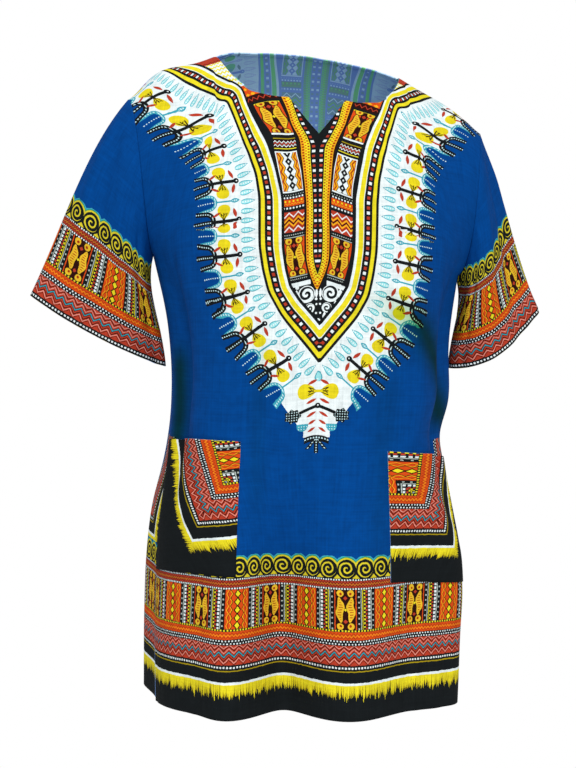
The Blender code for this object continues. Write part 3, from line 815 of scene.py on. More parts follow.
right_sleeve = cloth_piece("right_sleeve", right_points, right_s, right_t, right_cuff, flip=True)
left_sleeve = cloth_piece("left_sleeve", left_points, left_s, left_t, left_cuff)
pocket_edge = np.zeros(right_above.shape)
pocket_edge[-POCKET_TURN_ROWS:] = 1
right_patch = cloth_piece(
    "right_patch_pocket", right_pocket, right_beside, right_above, pocket_edge
)
left_patch = cloth_piece("left_patch_pocket", left_pocket, left_beside, left_above, pocket_edge)

# %% [markdown]
# ## Formulas as nodes
#
# A print is a set of shapes, and each shape is a formula that says where its ink lies.
# Blender's nodes can hold such formulas, but long chains of them are hard to read in a
# script. So `add` adds one node of any kind, and `Value` wraps a node's output so that
# plain arithmetic adds the Math nodes: `(s - 4.1) * 2` is two nodes. An ink is given to a
# node by its name.

# %% A small language for nodes
INKS = {
    "black": "#15191b", "blue": "#004086", "white": "#dfe9ea", "yellow": "#e0d224",
    "gold": "#e8a51c", "orange": "#d04a16", "red": "#ae3a26", "maroon": "#2c100c",
    "turquoise": "#3a9cae", "pale": "#a9b5ae", "ice": "#c3e2e6", "green": "#1f8a55",
    "rust": "#9c3510", "straw": "#a08c10", "pink": "#d79a8c", "amber": "#dcb22a",
    "bloom": "#dccb1e", "bark": "#3a2c0c", "sky": "#93d8dc", "citron": "#cfc02c",
    "paper": "#fdfdfd",
}


def ink(name):
    """An ink's sRGB hex colour as linear red, green, blue and alpha."""
    shares = np.array([int(INKS[name][k : k + 2], 16) for k in (1, 3, 5)]) / 255
    linear = np.where(shares <= 0.04045, shares / 12.92, ((shares + 0.055) / 1.055) ** 2.4)
    return (*linear.tolist(), 1)


class Tree:
    """The node tree that nodes are being added to."""

    now = None


def add(kind, *inputs, out=0, **settings):
    """Add a node with its settings, and give its inputs in order: a link, ink or value."""
    node = Tree.now.nodes.new("ShaderNode" + kind)
    for name, value in settings.items():
        setattr(node, name, value)
    sockets = [socket for socket in node.inputs if socket.enabled]
    for socket, value in zip(sockets, inputs):
        if isinstance(value, Value):
            Tree.now.links.new(value.socket, socket)
        else:
            socket.default_value = ink(value) if isinstance(value, str) else value
    outputs = [socket for socket in node.outputs if socket.enabled]
    return Value(outputs[out] if isinstance(out, int) else node.outputs[out])


class Value:
    """A node's output. Arithmetic on it adds Math nodes."""

    def __init__(self, socket):
        self.socket = socket

    def math(self, operation, *others):
        return add("Math", self, *others, operation=operation)

    def __rsub__(self, other):
        return self.math("MULTIPLY_ADD", -1, other)

    def between(self, low, high):
        return self.math("COMPARE", (low + high) / 2, (high - low) / 2)

    def apart(self, pitch, phase=0):
        """How far it is from the nearest of the marks that stand a pitch apart."""
        shifted = self + phase if phase else self
        return shifted.math("PINGPONG", pitch / 2)


METHODS = {
    "__add__": "ADD", "__sub__": "SUBTRACT", "__mul__": "MULTIPLY", "__truediv__": "DIVIDE",
    "__lt__": "LESS_THAN", "__gt__": "GREATER_THAN", "__abs__": "ABSOLUTE", "min": "MINIMUM",
    "max": "MAXIMUM", "root": "SQRT", "times_plus": "MULTIPLY_ADD",
}
for method, operation in METHODS.items():
    setattr(Value, method, partialmethod(Value.math, operation))


def paint(under, where, over):
    """An ink or another drawing laid over what is there, where the mask is 1."""
    return add("Mix", where, under, over, data_type="RGBA")


def layers(colour, *paints):
    """Paint each pair of mask and ink in turn."""
    for mask, name in paints:
        colour = paint(colour, mask, name)
    return colour


def print_group(name, draw, inputs):
    """A node group that holds one drawing: named numbers in, the colour of the print out."""
    group = bpy.data.node_groups.new(name, "ShaderNodeTree")
    for label in inputs:
        group.interface.new_socket(name=label, in_out="INPUT", socket_type="NodeSocketFloat")
    group.interface.new_socket(name="Colour", in_out="OUTPUT", socket_type="NodeSocketColor")
    Tree.now = group
    source, sink = group.nodes.new("NodeGroupInput"), group.nodes.new("NodeGroupOutput")
    colour = draw(*[Value(socket) for socket in source.outputs[: len(inputs)]])
    group.links.new(colour.socket, sink.inputs[0])
    print(name, "has", len(group.nodes), "nodes")
    return group


# %% [markdown]
# ## Motifs
#
# Wax-print borders are built from a few plain motifs: rows of dots, zigzags, chains of
# lozenges, pairs of leaves and spirals. Each function here gives the mask of one motif
# from two coordinates in millimetres: the distance along the band and across it.

# %% Motif masks
def band(along, across, low, high):
    """All that lies between two heights."""
    return across.between(low, high)


def dots(along, across, centre, pitch, size, phase=0):
    """Square dots: within size of a mark along the band and of its centre line."""
    return (along.apart(pitch, phase) < size) * across.between(centre - size, centre + size)


def zigzag(along, across, centre, pitch, rise, thick):
    """A line whose height goes up and down by rise with every pitch."""
    line = along.apart(pitch).times_plus(-4 * rise / pitch, rise - centre) + across
    return line.between(-thick / 2, thick / 2)


def rows(colour, along, across, *table):
    """Paint rows along a band, each given as its motif, its ink and the motif's measures."""
    for motif, name, *measures in table:
        colour = paint(colour, motif(along, across, *measures), name)
    return colour


def lozenges(off, along, pitch, wide):
    """A chain: the distance from the centre line plus that along the chain is small."""
    return along.apart(pitch).times_plus(0.8, abs(off)) < wide


def leaf(off, along, centre, half_length, half_width):
    """A lens: its half width falls from the middle with the square of the way along."""
    share = (along - centre) / half_length
    return (share * share).times_plus(half_width, abs(off)) < half_width


def disc(x, y, radius):
    """Within a radius of the point where both coordinates are 0."""
    return (x * x).math("MULTIPLY_ADD", 1, y * y) < radius * radius


def distance(x, y):
    """How far it is to the point where both coordinates are 0."""
    return (x * x + y * y).root()


def swirl(x, y, radius, gap):
    """How far it is to a spiral whose turns lie a gap apart: its radius follows the angle."""
    return y.math("ARCTAN2", x).times_plus(gap / (2 * pi), radius * -1).apart(gap)


def leaf_pair(colour, where, x, up):
    """Two bent leaves side by side with discs at their ends, x from their middle line."""
    bend = (up * 0.36).math("SINE").times_plus(0.9, x) - 6.2
    ends = abs(up) - 18.6
    drawn = layers(
        colour,
        (x < 3.4, "maroon"),
        (leaf(bend, up, 0, 16.5, 5.6), "maroon"),
        (leaf(bend, up, 0, 15.5, 4.5), "amber"),
        (leaf(bend, up, 0, 12.5, 2.4) * (up.apart(2.8) < 0.45), "rust"),
        (disc(x - 6.2, ends, 4.8), "maroon"),
        (disc(x - 6.2, ends, 3.9), "amber"),
        (disc(x - 5.6, ends + 0.6, 1.5), "rust"),
        (abs(abs(up) - 13.2) + x < 2.4, "red"),
        (abs(up) + x < 1.7, "yellow"),
    )
    return paint(colour, where, drawn)


# %% [markdown]
# ## The border
#
# The same border runs along the hem, round the cuffs and, as nested corners, over the
# pockets. So it is one node group that knows only two coordinates. From its edge up it
# has black with a fringe, fine lines, a zigzag band, dotted bands, upright panels, and a
# scroll of spirals under a scalloped edge. Widths are those of real shirts, in
# millimetres.

# %% Border group
PANEL_HALF = 51  # from the middle of one kind of upright panel to the middle of the next
PANEL_PHASE, PANEL_MIDDLE = 9, 126.5
SPIRAL_PITCH, SPIRAL_CENTRE, SPIRAL_GAP = 22, 172.4, 5.4


def upright_panels(colour, along, up):
    """Lozenge panels and leaf panels by turns, with narrow dotted strips between them."""
    d = along.apart(2 * PANEL_HALF, PANEL_PHASE)
    wave = up.apart(9) * 0.55
    colour = layers(
        colour,
        (d < 14.8, "orange"),
        (lozenges(d, up, 9, 4.6), "maroon"),
        (lozenges(d, up, 9, 3), "yellow"),
        ((d - wave).between(5.2, 6.2), "maroon"),
        ((d - wave).between(6.2, 7.2), "gold"),
        ((d + wave).between(11, 12), "rust"),
        ((d + wave).between(12.4, 13.2), "gold"),
    )
    colour = rows(
        colour, up, d,
        (band, "maroon", 14.4, 15.3),
        (dots, "pale", 17, 6, 0.9),
        (band, "pale", 19.2, 20.4),
        (dots, "white", 22.4, 4.2, 1.35),
        (dots, "red", 26, 4.2, 1.2),
        (dots, "yellow", 28.4, 4.2, 1, 2.1),
        (band, "yellow", 30.4, 31.2),
        (band, "pale", 32.2, 33.2),
        (dots, "pale", 35.4, 6, 0.9, 3),
    )
    colour = layers(colour, (d > 38.2, "orange"), (d > 39.4, "maroon"))
    return leaf_pair(colour, d > 39.4, PANEL_HALF - d, up - PANEL_MIDDLE)


def fringe(colour, along, up):
    """Yellow teeth of uneven length under a white line, with darker strokes in them."""
    clumps = add("TexNoise", along, 0.13, 1, 0.5, noise_dimensions="1D")
    uneven = add("TexNoise", along, 0.42, 2, 0.7, noise_dimensions="1D")
    strokes = add("TexNoise", along, 0.85, 2, noise_dimensions="1D")
    teeth = clumps.times_plus(14, uneven * 20) + 11
    above = up - teeth
    drawn = layers(
        colour,
        (above > 0, "yellow"),
        ((above > 0) * (above.times_plus(0.020, strokes) < 0.56), "straw"),
        ((above > 0) * (above.times_plus(0.050, strokes) < 0.50), "black"),
    )
    return rows(paint(colour, up < 41.5, drawn), along, up, (band, "white", 41, 43.8))


def border_print(along, up):
    """All of the border, from its edge up."""
    colour = rows(
        fringe("black", along, up), along, up,
        (band, "straw", 56, 57.3),
        (band, "red", 63.6, 86),
        (dots, "white", 60.6, 3.8, 1.05),
        # A zigzag band.
        (zigzag, "maroon", 66.4, 11.4, 2.8, 0.8),
        (zigzag, "pink", 68.4, 11.4, 2.8, 1),
        (zigzag, "maroon", 70.8, 11.4, 2.8, 1.3),
        (zigzag, "maroon", 75.4, 11.4, 2.8, 3.6),
        (zigzag, "turquoise", 75.4, 11.4, 2.8, 1.5),
        (zigzag, "pink", 79.6, 11.4, 2.8, 0.9),
        (zigzag, "maroon", 82.2, 11.4, 2.6, 1.2),
        (zigzag, "pink", 84.2, 11.4, 2, 0.8),
        (band, "black", 85.8, 92.4),
        (dots, "white", 87.6, 3.8, 0.8),
        (dots, "white", 90.8, 3.8, 0.8, 1.9),
        # An orange band with fine chevrons.
        (band, "orange", 92.4, 101.4),
        (zigzag, "rust", 94.6, 4.4, 1.2, 0.9),
        (zigzag, "gold", 96.8, 4.4, 1.2, 0.7),
        (zigzag, "rust", 99, 4.4, 1.2, 0.9),
        (dots, "yellow", 102.8, 3.8, 0.9),
        # A red band with hatching between two rows of dots.
        (band, "red", 151.6, 158.8),
        (zigzag, "maroon", 153.4, 3.8, 1.1, 0.9),
        (zigzag, "straw", 155.2, 3.8, 1.1, 0.6),
        (zigzag, "maroon", 157, 3.8, 1.1, 0.9),
        (dots, "white", 150.2, 3.2, 0.85),
        (dots, "white", 160.2, 3.2, 0.8),
    )
    colour = paint(colour, up.between(104.2, 149), upright_panels("black", along, up))
    x, y = along.math("WRAP", SPIRAL_PITCH / 2, -SPIRAL_PITCH / 2), up - SPIRAL_CENTRE
    radius = distance(x, y)
    spiral = (swirl(x, y, radius, SPIRAL_GAP) < 1) * radius.between(0.9, 9.6)
    foot = (along.apart(SPIRAL_PITCH, SPIRAL_PITCH / 2) + up) < 166.4
    above = y > 0
    return layers(
        colour,
        (spiral, "citron"),
        (foot * (up > 161.8), "citron"),
        (radius.between(11, 12.9) * above, "citron"),
        (radius.between(12.9, 13.9) * above, "green"),
        (radius.between(13.9, 15.4) * above, "turquoise"),
        ((radius > 15.4) * above, "blue"),
    )


border = print_group("border_print", border_print, ("Along", "Up"))

# %% [markdown]
# ## The body print
#
# The body of the shirt carries one placed print, the same on the front and the back:
#
# - the border up to 187 mm from the hem, nested corners of it at the sides, and blue;
# - a white ground round the shield with drops, stems, cups, leaves and blooms. `ring` is
#   the distance from the shield's edge and `motif` the place along it, so a whole ring of
#   motifs is drawn as one straight row;
# - the shield's own band, whose squares follow `bead`, the place along it;
# - two strips down the middle, and between them and the band a ladder of panels, drawn
#   from `strip`, `bay` and `row`.
#
# Numbers in these drawings are places and sizes on the flat cloth, in millimetres.

# %% Body print group
BORDER_TOP = 187
CORNER_LEVEL = 148  # from this level inwards a nested corner runs on unchanged
STEM_PITCH, STEM_PHASE, DROP_PITCH = 45, 15.5, 10.9
LAST_CUP = STEM_PHASE + STEM_PITCH / 2
BAND_DEPTH, SQUARE_PITCH = 29.5, 11.4
CORNER_SIDE, CORNER_LOW, CORNER_WIDE, CORNER_TOP = 304, 150, 92, 318


def cup(colour, x, r, foot, half, tall, thick, inks):
    """A cup on a stem: two beaded walls that rise round a middle bar, and spread a little."""
    wall_ink, bar_ink, bead_ink = inks
    rise = r - (foot + half)
    inner = distance(x, rise.min(0)) - rise.max(0) * 0.14 - half
    wall, beads = abs(inner), r.apart(2.9) < 0.7
    bar = (x < thick * 0.9) * r.between(foot, foot + tall + 3)
    within = r.between(foot - 4, foot + tall)
    return layers(
        colour,
        (within * (inner < 0), "blue"),
        (bar, bar_ink),
        (within * (wall < thick), wall_ink),
        (within * beads * (wall < 0.62), bead_ink),
        (bar * beads * (x < 0.62), bead_ink),
    )


def bloom(colour, p, q):
    """A fan-shaped flower: p is the way from its stalk, q across, and veins spread in it."""
    half = (p - 3).max(0).times_plus(0.28, 5.1)
    veins = (abs(abs(q) - p * 0.42) < 0.55) + (abs(q) < 0.6)
    return layers(
        colour,
        (disc((p - 10.9) / 8.3, q / half, 1), "bloom"),
        (veins * p.between(1.5, 9.5) * (q < 4), "bark"),
        ((abs(abs(q - 0.6) - p * 0.9 + 5.2) < 0.5) * p.between(6, 9), "bark"),
    )


def tip_ornament(colour, p, h):
    """Under the shield's point: two blooms, black arms with beaded heads, and a crown."""
    arm = abs(p * 0.38 + h - 357)
    head_p, head_h = p - 28, h - 346.5
    head = (head_p * head_p + head_h * head_h * 1.3).root()
    lobes = head - head_h.math("ARCTAN2", head_p).apart(0.9) * 6
    side = distance(p - 16.5, h - 334.5)
    beads = (p.apart(2.9) < 0.6) * (h.apart(2.9) < 0.6)
    ray, arc = abs(p - (320 - h) * 0.85), (p * p).times_plus(0.016, h)
    crown = arc.between(316.5, 323.5) * (p < 14)
    rays = (ray < 2.3) * h.between(307.5, 321) + (p < 2.4) * h.between(303, 321)
    colour = bloom(colour, p * 0.82, (h - 373.5) * 0.86)
    colour = layers(
        colour,
        ((p < 5) * (h - 373.5).between(-1.6, 1.6), "bloom"),
        ((arm < 1.9) * (p < 21), "black"),
        (disc(p, h - 357, 3.2), "black"),
        (disc(p, h - 357.6, 0.8), "white"),
        (lobes < 7.4, "black"),
        ((lobes < 6.4) * beads, "ice"),
        ((side < 6.4) * (h < 336.5), "turquoise"),
        ((side < 6) * (h < 336) * beads, "ice"),
        (crown + rays, "black"),
        ((rays + crown) * (h.apart(3) < 0.7) * ((p < 0.6) + (ray < 0.7)), "ice"),
        (crown * (p.apart(3.2) < 0.8) * arc.between(319.8, 321.4), "ice"),
    )
    for slope, height, middle, length, width in (
        (0.45, 387, 7, 5.5, 1.9), (0.45, 365.5, 7.5, 6, 1.9), (0.55, 351, 7, 5.5, 1.9),
        (0.55, 341.5, 6, 4.5, 1.7), (0.55, 333, 6, 4.5, 1.7),
    ):
        bent = p.times_plus(slope, h) - height
        colour = paint(colour, leaf(bent, p, middle, length, width), "red")
    return colour


def halo(colour, s, high, ring, motif, drop):
    """The white ground round the shield, and its ring of motifs."""
    x = (motif - STEM_PHASE).apart(STEM_PITCH)
    y = STEM_PITCH / 2 - x
    tip = abs(s - 1.5)
    scallops = abs(x - 12.5).times_plus(0.5, ring) < 69.5
    taper = tip < (high - 336).times_plus(0.72, 22)
    tail = (tip < 15) * high.between(321, 336) + taper * high.between(335, 404)
    ground = (ring > 0) * (scallops * (high > 398) + scallops * taper + tail).min(1)
    colour = paint(colour, ground, "white")
    x = x + (motif < LAST_CUP) * 99  # no stem below the last cup

    k = (ring - 3) / 16.5
    wide = k * (1 - k).max(0).root() * 8.6
    d = drop.apart(DROP_PITCH)
    colour = layers(
        colour,
        (d < wide, "turquoise"),
        (d < wide - 0.9, "sky"),
        ((d < 0.9) * (ring.apart(2.8) < 0.75) * (d < wide - 0.6), "white"),
    )
    side = layers(
        colour,
        ((y < 0.9) * ring.between(27, 50), "turquoise"),
        (leaf(y, ring, 26, 5.5, 2.6), "turquoise"),
        (leaf(y, ring, 26, 3.4, 1.1) * (ring.apart(2.4) < 0.8), "ice"),
    )
    side = cup(side, y, ring, 48.5, 8, 20, 1.8, ("turquoise", "blue", "ice"))
    side = cup(side, x, ring, 51, 10.2, 22, 2.9, ("black", "black", "ice"))
    side = layers(
        bloom(side, x, ring - 39),
        ((x < 1.9) * ring.between(22, 54), "black"),
        (disc(x, ring - 22, 3.2), "black"),
        (disc(x, ring - 21.4, 0.8), "white"),
        (leaf(x.times_plus(-0.25, ring) - 24, x, 8.6, 5.6, 2.1), "red"),
        (leaf(ring.times_plus(0.45, x) - 29.5, ring, 47.5, 5.2, 1.6), "red"),
    )
    colour = paint(colour, motif > LAST_CUP - 11.5, side)  # the tip has its own ornament
    return tip_ornament(colour, tip, high)


def shield_band(colour, ring, bead):
    """Lines and squares that follow the shield's edge, from the outside in."""
    for depth, name in (
        (0, "black"), (3, "yellow"), (7.4, "black"), (16.6, "white"),
        (17.4, "yellow"), (23, "white"), (26.2, "black"),
    ):
        colour = paint(colour, ring < -depth, name)
    return rows(
        colour, bead, ring,
        (dots, "white", -12, SQUARE_PITCH, 1.75),
        (dots, "red", -12, SQUARE_PITCH, 1.75, SQUARE_PITCH / 2),
    )


def ladder(colour, bay, row):
    """The panels between the strips and the band, from the neck down to the point."""
    x = abs(bay)
    collar = row.between(727, 745)
    colour = layers(
        colour,
        (row > 745, "white"),
        ((row + x.apart(6) * 1.2).apart(8) < 1.7, "yellow"),
        (collar, "orange"),
        (collar * lozenges(row.apart(9), bay, 7, 2.4), "gold"),
        (row > 800, "red"),
        (zigzag(bay, row, 804, 6, 2.2, 1.6), "maroon"),
        (row < 727, "black"),
    )
    colour = rows(
        colour, bay, row,
        (band, "orange", 674, 713.5),
        (band, "yellow", 712.4, 713.8),
        (band, "maroon", 717, 726),
        (zigzag, "red", 721.5, 6, 2.2, 1.6),
        (band, "white", 671.4, 673.4),
        (band, "straw", 666.2, 667.4),
        (band, "maroon", 655.8, 665.4),
        (zigzag, "white", 662.6, 4.4, 1.3, 1.2),
        (zigzag, "red", 660.4, 4.4, 1.3, 1.6),
        (zigzag, "white", 658, 4.4, 1.3, 1.2),
        (band, "yellow", 653.9, 655),
        (band, "white", 649.5, 651),
        (band, "gold", 605, 649.5),
        (band, "white", 603, 604.6),
        (dots, "pale", 600.2, 3, 0.5),
        (dots, "white", 597.2, 3.6, 0.9),
        (band, "orange", 587.6, 595.4),
        (dots, "yellow", 593, 4.8, 1),
        (zigzag, "gold", 590, 3.6, 0.9, 0.8),
        (dots, "white", 585.4, 3.8, 0.95),
        # Chevrons in five inks.
        (band, "red", 558, 581),
        (zigzag, "white", 577.4, 10.6, 2.6, 1.6),
        (zigzag, "rust", 574.4, 10.6, 2.6, 1.8),
        (zigzag, "gold", 572.2, 10.6, 2.6, 2.2),
        (zigzag, "maroon", 569.6, 10.6, 2.6, 1.8),
        (zigzag, "gold", 567.2, 10.6, 2.6, 2.2),
        (zigzag, "rust", 564.4, 10.6, 2.6, 1.8),
        (zigzag, "white", 561.6, 10.6, 2.6, 1.8),
        (dots, "pale", 555, 2.6, 0.6),
        (band, "pale", 551.6, 552.4),
        (band, "orange", 508.5, 551),
        (band, "pale", 506.8, 507.8),
        (dots, "pale", 504.4, 2.6, 0.6),
    )
    # A tall panel with a chain of black lozenges on a waved white ground.
    waved = row.apart(11).times_plus(0.5, x)
    tall = layers(
        colour,
        (waved.between(9.4, 11), "rust"),
        (waved < 7.6, "maroon"),
        (waved < 6.8, "white"),
        (x > 10.6, "rust"),
        (x > 11.4, "white"),
        (lozenges(x, row, 9.4, 4.2), "black"),
        (lozenges(x, row, 9.4, 1.2), "white"),
    )
    colour = paint(colour, row.between(605, 649.5), tall)
    colour = leaf_pair(colour, row.between(674, 713.5), x, row - 693.5)
    colour = leaf_pair(colour, row.between(508.5, 551), x, row - 529.5)
    return paint("black", (x < BAY_HALF).max(row > 716), colour)


def point(colour, s, t, row):
    """The shield's point: mirrored white scrolls on black."""
    x = abs(s + 1.6)
    radius, low_radius = distance(x - 13.5, t - 483.5), distance(x - 9.6, t - 467.5)
    turn = swirl(x - 13.5, t - 483.5, radius, 6.2)
    low_turn = swirl(x - 9.6, t - 467.5, low_radius, 4.2)
    colour = layers(
        colour,
        (row.between(495.5, 500.5) * (x > 9), "white"),
        (radius < 9.6, "white"),
        ((turn < 1.5) * (radius < 8.6), "black"),
        (low_radius < 5.6, "white"),
        ((low_turn < 1) * (low_radius < 5), "black"),
        ((x + abs(t - 445.6) * 1.2).between(3.4, 5.4) * (t < 446.5), "white"),
    )
    for aside, height, length, width in (
        (19.5, 471.5, 4.6, 1.9), (2.2, 484, 5.5, 1.5),
        (24.5, 483, 6.5, 2.4), (7, 458, 4.6, 2),
    ):
        colour = paint(colour, leaf(x - aside, t, height, length, width), "white")
    for aside, height, size in (
        (24, 492, 2), (2.6, 477.4, 1.4), (2.2, 471.6, 1.2),
        (2.4, 461.6, 1.2), (0, 452.5, 3),
    ):
        colour = paint(colour, disc(x - aside, t - height, size), "white")
    return colour


def strips(colour, t, strip):
    """Squares and a checked strip on either side of the centre line."""
    colour = layers(colour, (strip < 15.4, "black"))
    squared = rows(
        colour, t, strip,
        (dots, "white", SQUARES_IN, 11.3, 1.45),
        (dots, "red", SQUARES_IN, 11.3, 1.35, 5.65),
    )
    return rows(
        paint(colour, t > 511, squared), t, strip,
        (band, "maroon", 13.2, 14.4),
        (band, "gold", 5.8, 13.2),
        (band, "yellow", 5.8, 10.4),
        (dots, "rust", 11.6, 3.3, 0.9),
        (dots, "orange", 9.3, 3.3, 0.7, 1.6),
        (dots, "rust", 7.2, 3.3, 0.8),
    )


def body_print(s, t, high, ring, motif, drop, bead, strip, bay, row):
    """All of the body's print, from the hem up and from the halo inwards."""
    colour = paint("blue", t < BORDER_TOP, add("Group", s, t, node_tree=border))
    beside, above = CORNER_SIDE - abs(s), t - CORNER_LOW
    level = beside.min(above).min(CORNER_LEVEL)
    corner = add("Group", beside.max(above), level, node_tree=border)
    in_corner = (beside < CORNER_WIDE) * t.between(BORDER_TOP, CORNER_TOP)
    colour = halo(paint(colour, in_corner, corner), s, high, ring, motif, drop)
    colour = shield_band(colour, ring, bead)
    field = paint(ladder("black", bay, row), row < 501, "black")
    field = point(field, s, high, row)
    field = paint(field, high > 488, strips(field, high, strip))
    return paint(colour, ring < -BAND_DEPTH, field)


body = print_group("body_print", body_print, ("S", "T", *MEASURES))

# %% [markdown]
# ## Printed cotton
#
# The cloth is a plain-woven cotton, waxed and calendered, so it has a soft low sheen. A
# little noise moves the ink by about 0.3 mm, as a roller print does, and mottles the dye.
# Its reverse shows the same print through a blue dye: black turns dark blue, white turns
# pale blue and yellow turns green. The reverse is also lighter than the dye alone makes
# it, as painted light, because little light reaches the inside of the shirt.

# %% Cotton materials
# Painted shade: at the bottom of a deep fold the colour's red, green and blue are multiplied by
# these shares.
PAINTED_SHADE_TINT = (0.25, 0.50, 0.17)  # what is left of red, green and blue at the bottom of a deep fold
WANDER = (0.0016, 0.0016, 0)  # how far the noise moves the ink, in metres
ACROSS, ALONG = (16, 420, 1), (420, 16, 1)  # long threads one way and the other
THREADS = 900  # the scale of the weave's waves
BUMP_SHARE, BUMP_DEPTH, ROUGHNESS, GLOSS = 0.35, 0.0012, 0.86, 0.05
SLEEVE_OFFSET = 57.2  # a cuff is cut through the border, this far above its edge
POCKET_SCALE, POCKET_SHIFT = 1.35, 82.4  # small motifs, narrow strips at the nested corner


def cotton(name, draw, reverse=False):
    """Printed cotton: draw gives the ink from the flat places in millimetres."""
    material = bpy.data.materials.new(name)
    material.use_nodes = True
    Tree.now = material.node_tree
    Tree.now.nodes.clear()
    shader = Tree.now.nodes.new("ShaderNodeBsdfPrincipled")
    sink = Tree.now.nodes.new("ShaderNodeOutputMaterial")
    flat = add("UVMap", uv_map="cloth")
    shift = add("TexNoise", flat, 240, 2, out="Color")
    shift = add("VectorMath", shift, (0.5, 0.5, 0.5), operation="SUBTRACT")
    moved = add("VectorMath", shift, WANDER, flat, operation="MULTIPLY_ADD")
    colour = draw(*(add("SeparateXYZ", moved, out=k) * 1000 for k in range(2)))
    mottle = add("TexNoise", flat, 60, 5, 0.65)
    slubs, threads = (
        add("TexNoise", add("VectorMath", flat, stretch, operation="MULTIPLY"), 1, 2)
        for stretch in (ACROSS, ALONG)
    )
    shade = mottle.times_plus(0.60, (slubs + threads) * 0.40) + 0.30
    colour = add("VectorMath", colour, shade, operation="MULTIPLY")
    if reverse:
        # The reverse is paler, as the back of a print is, and lighter still as painted light,
        # because little light reaches the inside of the shirt.
        red, green, blue = (add("SeparateColor", colour, out=k) for k in range(3))
        blue_dye_with_painted_light = red.max(green).max(blue).times_plus(0.20, 0.75) - (red - blue).max(0) * 0.80
        paler_with_painted_light = blue.times_plus(0.34, 0.20), green.times_plus(0.46, 0.36)
        colour = add("CombineColor", *paler_with_painted_light, blue_dye_with_painted_light)
    # Painted shade: the attribute read here is 1 at the bottom of a deep fold, where the colour
    # is darkened and tinted green.
    dusk = add("Attribute", attribute_name="dusk", out="Fac")
    in_painted_shade = add("VectorMath", colour, PAINTED_SHADE_TINT, operation="MULTIPLY")
    colour = add("Mix", dusk, colour, in_painted_shade, data_type="RGBA")
    Tree.now.links.new(colour.socket, shader.inputs["Base Color"])
    shader.inputs["Roughness"].default_value = ROUGHNESS
    shader.inputs["Specular IOR Level"].default_value = GLOSS
    crumple = add("TexNoise", flat, 70, 3, 0.55)
    weave = add("TexWave", flat, THREADS) + add("TexWave", flat, THREADS, bands_direction="Y")
    bump = add("Bump", BUMP_SHARE, BUMP_DEPTH, 1, weave.times_plus(0.06, crumple))
    Tree.now.links.new(bump.socket, shader.inputs["Normal"])
    Tree.now.links.new(shader.outputs[0], sink.inputs[0])
    return material


def draw_body(s, t):
    """The body's print, from the measures kept on the vertices."""
    measures = [add("Attribute", attribute_name=name, out="Fac") for name in MEASURES]
    return add("Group", s, t, *measures, node_tree=body)


def draw_sleeve(s, t):
    """The border round the cuff, and blue above it."""
    up = t + SLEEVE_OFFSET
    return paint("blue", up < BORDER_TOP, add("Group", s * 0.90, up, node_tree=border))


def draw_pocket(s, t):
    """The border turned round a corner, with its fringe pressed together."""
    level = s.min(t).min(CORNER_LEVEL)
    level = level - (41 - level).max(0) * 0.25
    along = s.max(t).times_plus(POCKET_SCALE, -POCKET_SHIFT)
    return add("Group", along, level, node_tree=border)


def cloth_area(points):
    """The area of a grid's cells, half the length of the product of their diagonals."""
    one, other = points[1:, 1:] - points[:-1, :-1], points[1:, :-1] - points[:-1, 1:]
    return float(np.linalg.norm(np.cross(one, other), axis=-1).sum() / 2)


PIECES = [
    (front, front_points, draw_body, "front_cotton", "front_panel", (0.64, 0.78)),
    (back, back_points, draw_body, "back_cotton", "back_panel", (0.64, 0.80)),
    (right_sleeve, right_points, draw_sleeve, "sleeve_cotton", "sleeve_right", (0.46, 0.27)),
    (left_sleeve, left_points, draw_sleeve, "sleeve_cotton", "sleeve_left", (0.44, 0.24)),
    (right_patch, right_pocket, draw_pocket, "pocket_cotton", "pocket_right", (0.22, 0.16)),
    (left_patch, left_pocket, draw_pocket, "pocket_cotton", "pocket_left", (0.22, 0.16)),
]
finishes = {}
for piece, points, draw, slot, node, flat in PIECES:
    if draw not in finishes:
        name = draw.__name__.replace("draw_", "printed_cotton_")
        finishes[draw] = cotton(name, draw), cotton(name + "_reverse", draw, reverse=True)
    for material in finishes[draw]:
        piece.data.materials.append(material)
    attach(piece, "root")
    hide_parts(node)
    area = round(cloth_area(points), 4)
    print(piece.name, "is cut from", flat, "m, and its own area is", area, "square metres")

# %% [markdown]
# ## Studio
#
# The shirt hangs over a pale floor in even studio light, with a soft main light from
# above and a fainter one from the front, which reaches the inside of the neck.

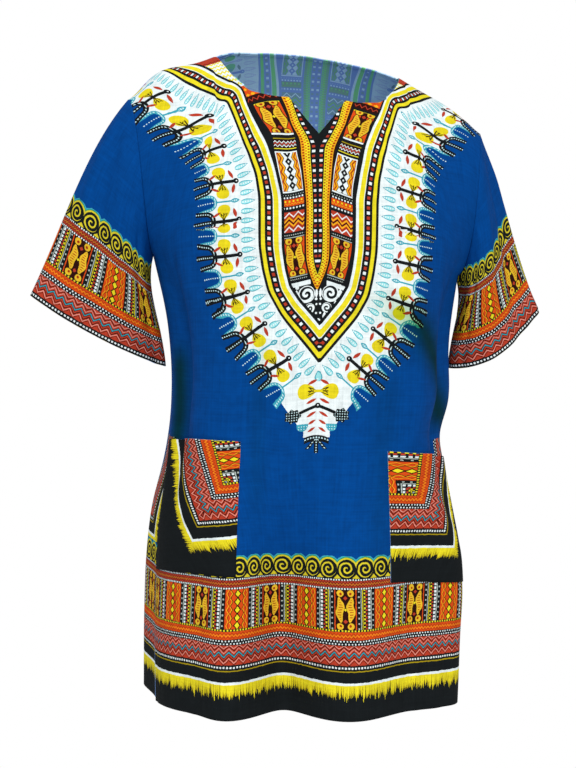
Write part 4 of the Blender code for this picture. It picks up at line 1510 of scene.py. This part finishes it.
# %% Floor, lights and camera
FLOOR = -2.4
ROOM_LIGHT = 0.50
Lamp = namedtuple("Lamp", "name strength size side height")
LAMPS = [  # size, side and height are angles in degrees
    Lamp("main_light", 1.95, 30, 6, 58),
    Lamp("front_light", 0.70, 25, -4, 8),
]
floor_mesh = bpy.data.meshes.new("studio_floor")
square = [(x, y, FLOOR) for x, y in ((-4, -4), (4, -4), (4, 4), (-4, 4))]
floor_mesh.from_pydata(square, [], [(0, 1, 2, 3)])
floor = bpy.data.objects.new("studio_floor", floor_mesh)
bpy.context.scene.collection.objects.link(floor)
paper = bpy.data.materials.new("white_paper")
paper.use_nodes = True
finish = paper.node_tree.nodes["Principled BSDF"].inputs
finish["Base Color"].default_value, finish["Roughness"].default_value = ink("paper"), 0.9
floor_mesh.materials.append(paper)

world = bpy.data.worlds.new("studio")
world.use_nodes = True
Tree.now = world.node_tree
room = Tree.now.nodes["Background"]
seen = add("LightPath", out="Is Camera Ray")
level = seen.times_plus(1.0 - ROOM_LIGHT, ROOM_LIGHT)  # the walls look white, and light less
Tree.now.links.new(level.socket, room.inputs["Strength"])
room.inputs["Color"].default_value = (1, 1, 1, 1)
bpy.context.scene.world = world
bpy.context.scene.view_settings.view_transform = "Standard"


def direction(side, height):
    """The way from the shirt at an angle to the side of its front and one above level."""
    side, height = radians(side), radians(height)
    return Vector((-sin(side) * cos(height), -cos(side) * cos(height), sin(height)))


def place(name, data, away):
    """Put a light or a camera in the scene, looking back along the way from the shirt."""
    stand = bpy.data.objects.new(name, data)
    stand.rotation_euler = away.to_track_quat("Z", "Y").to_euler()
    bpy.context.scene.collection.objects.link(stand)
    return stand


for lamp in LAMPS:
    light = bpy.data.lights.new(lamp.name, "SUN")
    light.angle, light.energy = radians(lamp.size), lamp.strength
    place(lamp.name, light, direction(lamp.side, lamp.height))

CAMERA_SIDE, CAMERA_HEIGHT, CAMERA_AWAY = 6, 4, 2.1
AIM_HEIGHT, AIM_ASIDE = -0.388, 0.0228
LENS, SENSOR = 82.0, 36.0  # millimetres
away = direction(CAMERA_SIDE, CAMERA_HEIGHT)
sideways = Vector((cos(radians(CAMERA_SIDE)), -sin(radians(CAMERA_SIDE)), 0))
lens = bpy.data.cameras.new("camera")
lens.lens, lens.sensor_width = LENS, SENSOR
camera = place("camera", lens, away)
camera.location = Vector((0, 0, AIM_HEIGHT)) - AIM_ASIDE * sideways + CAMERA_AWAY * away
bpy.context.scene.camera = camera
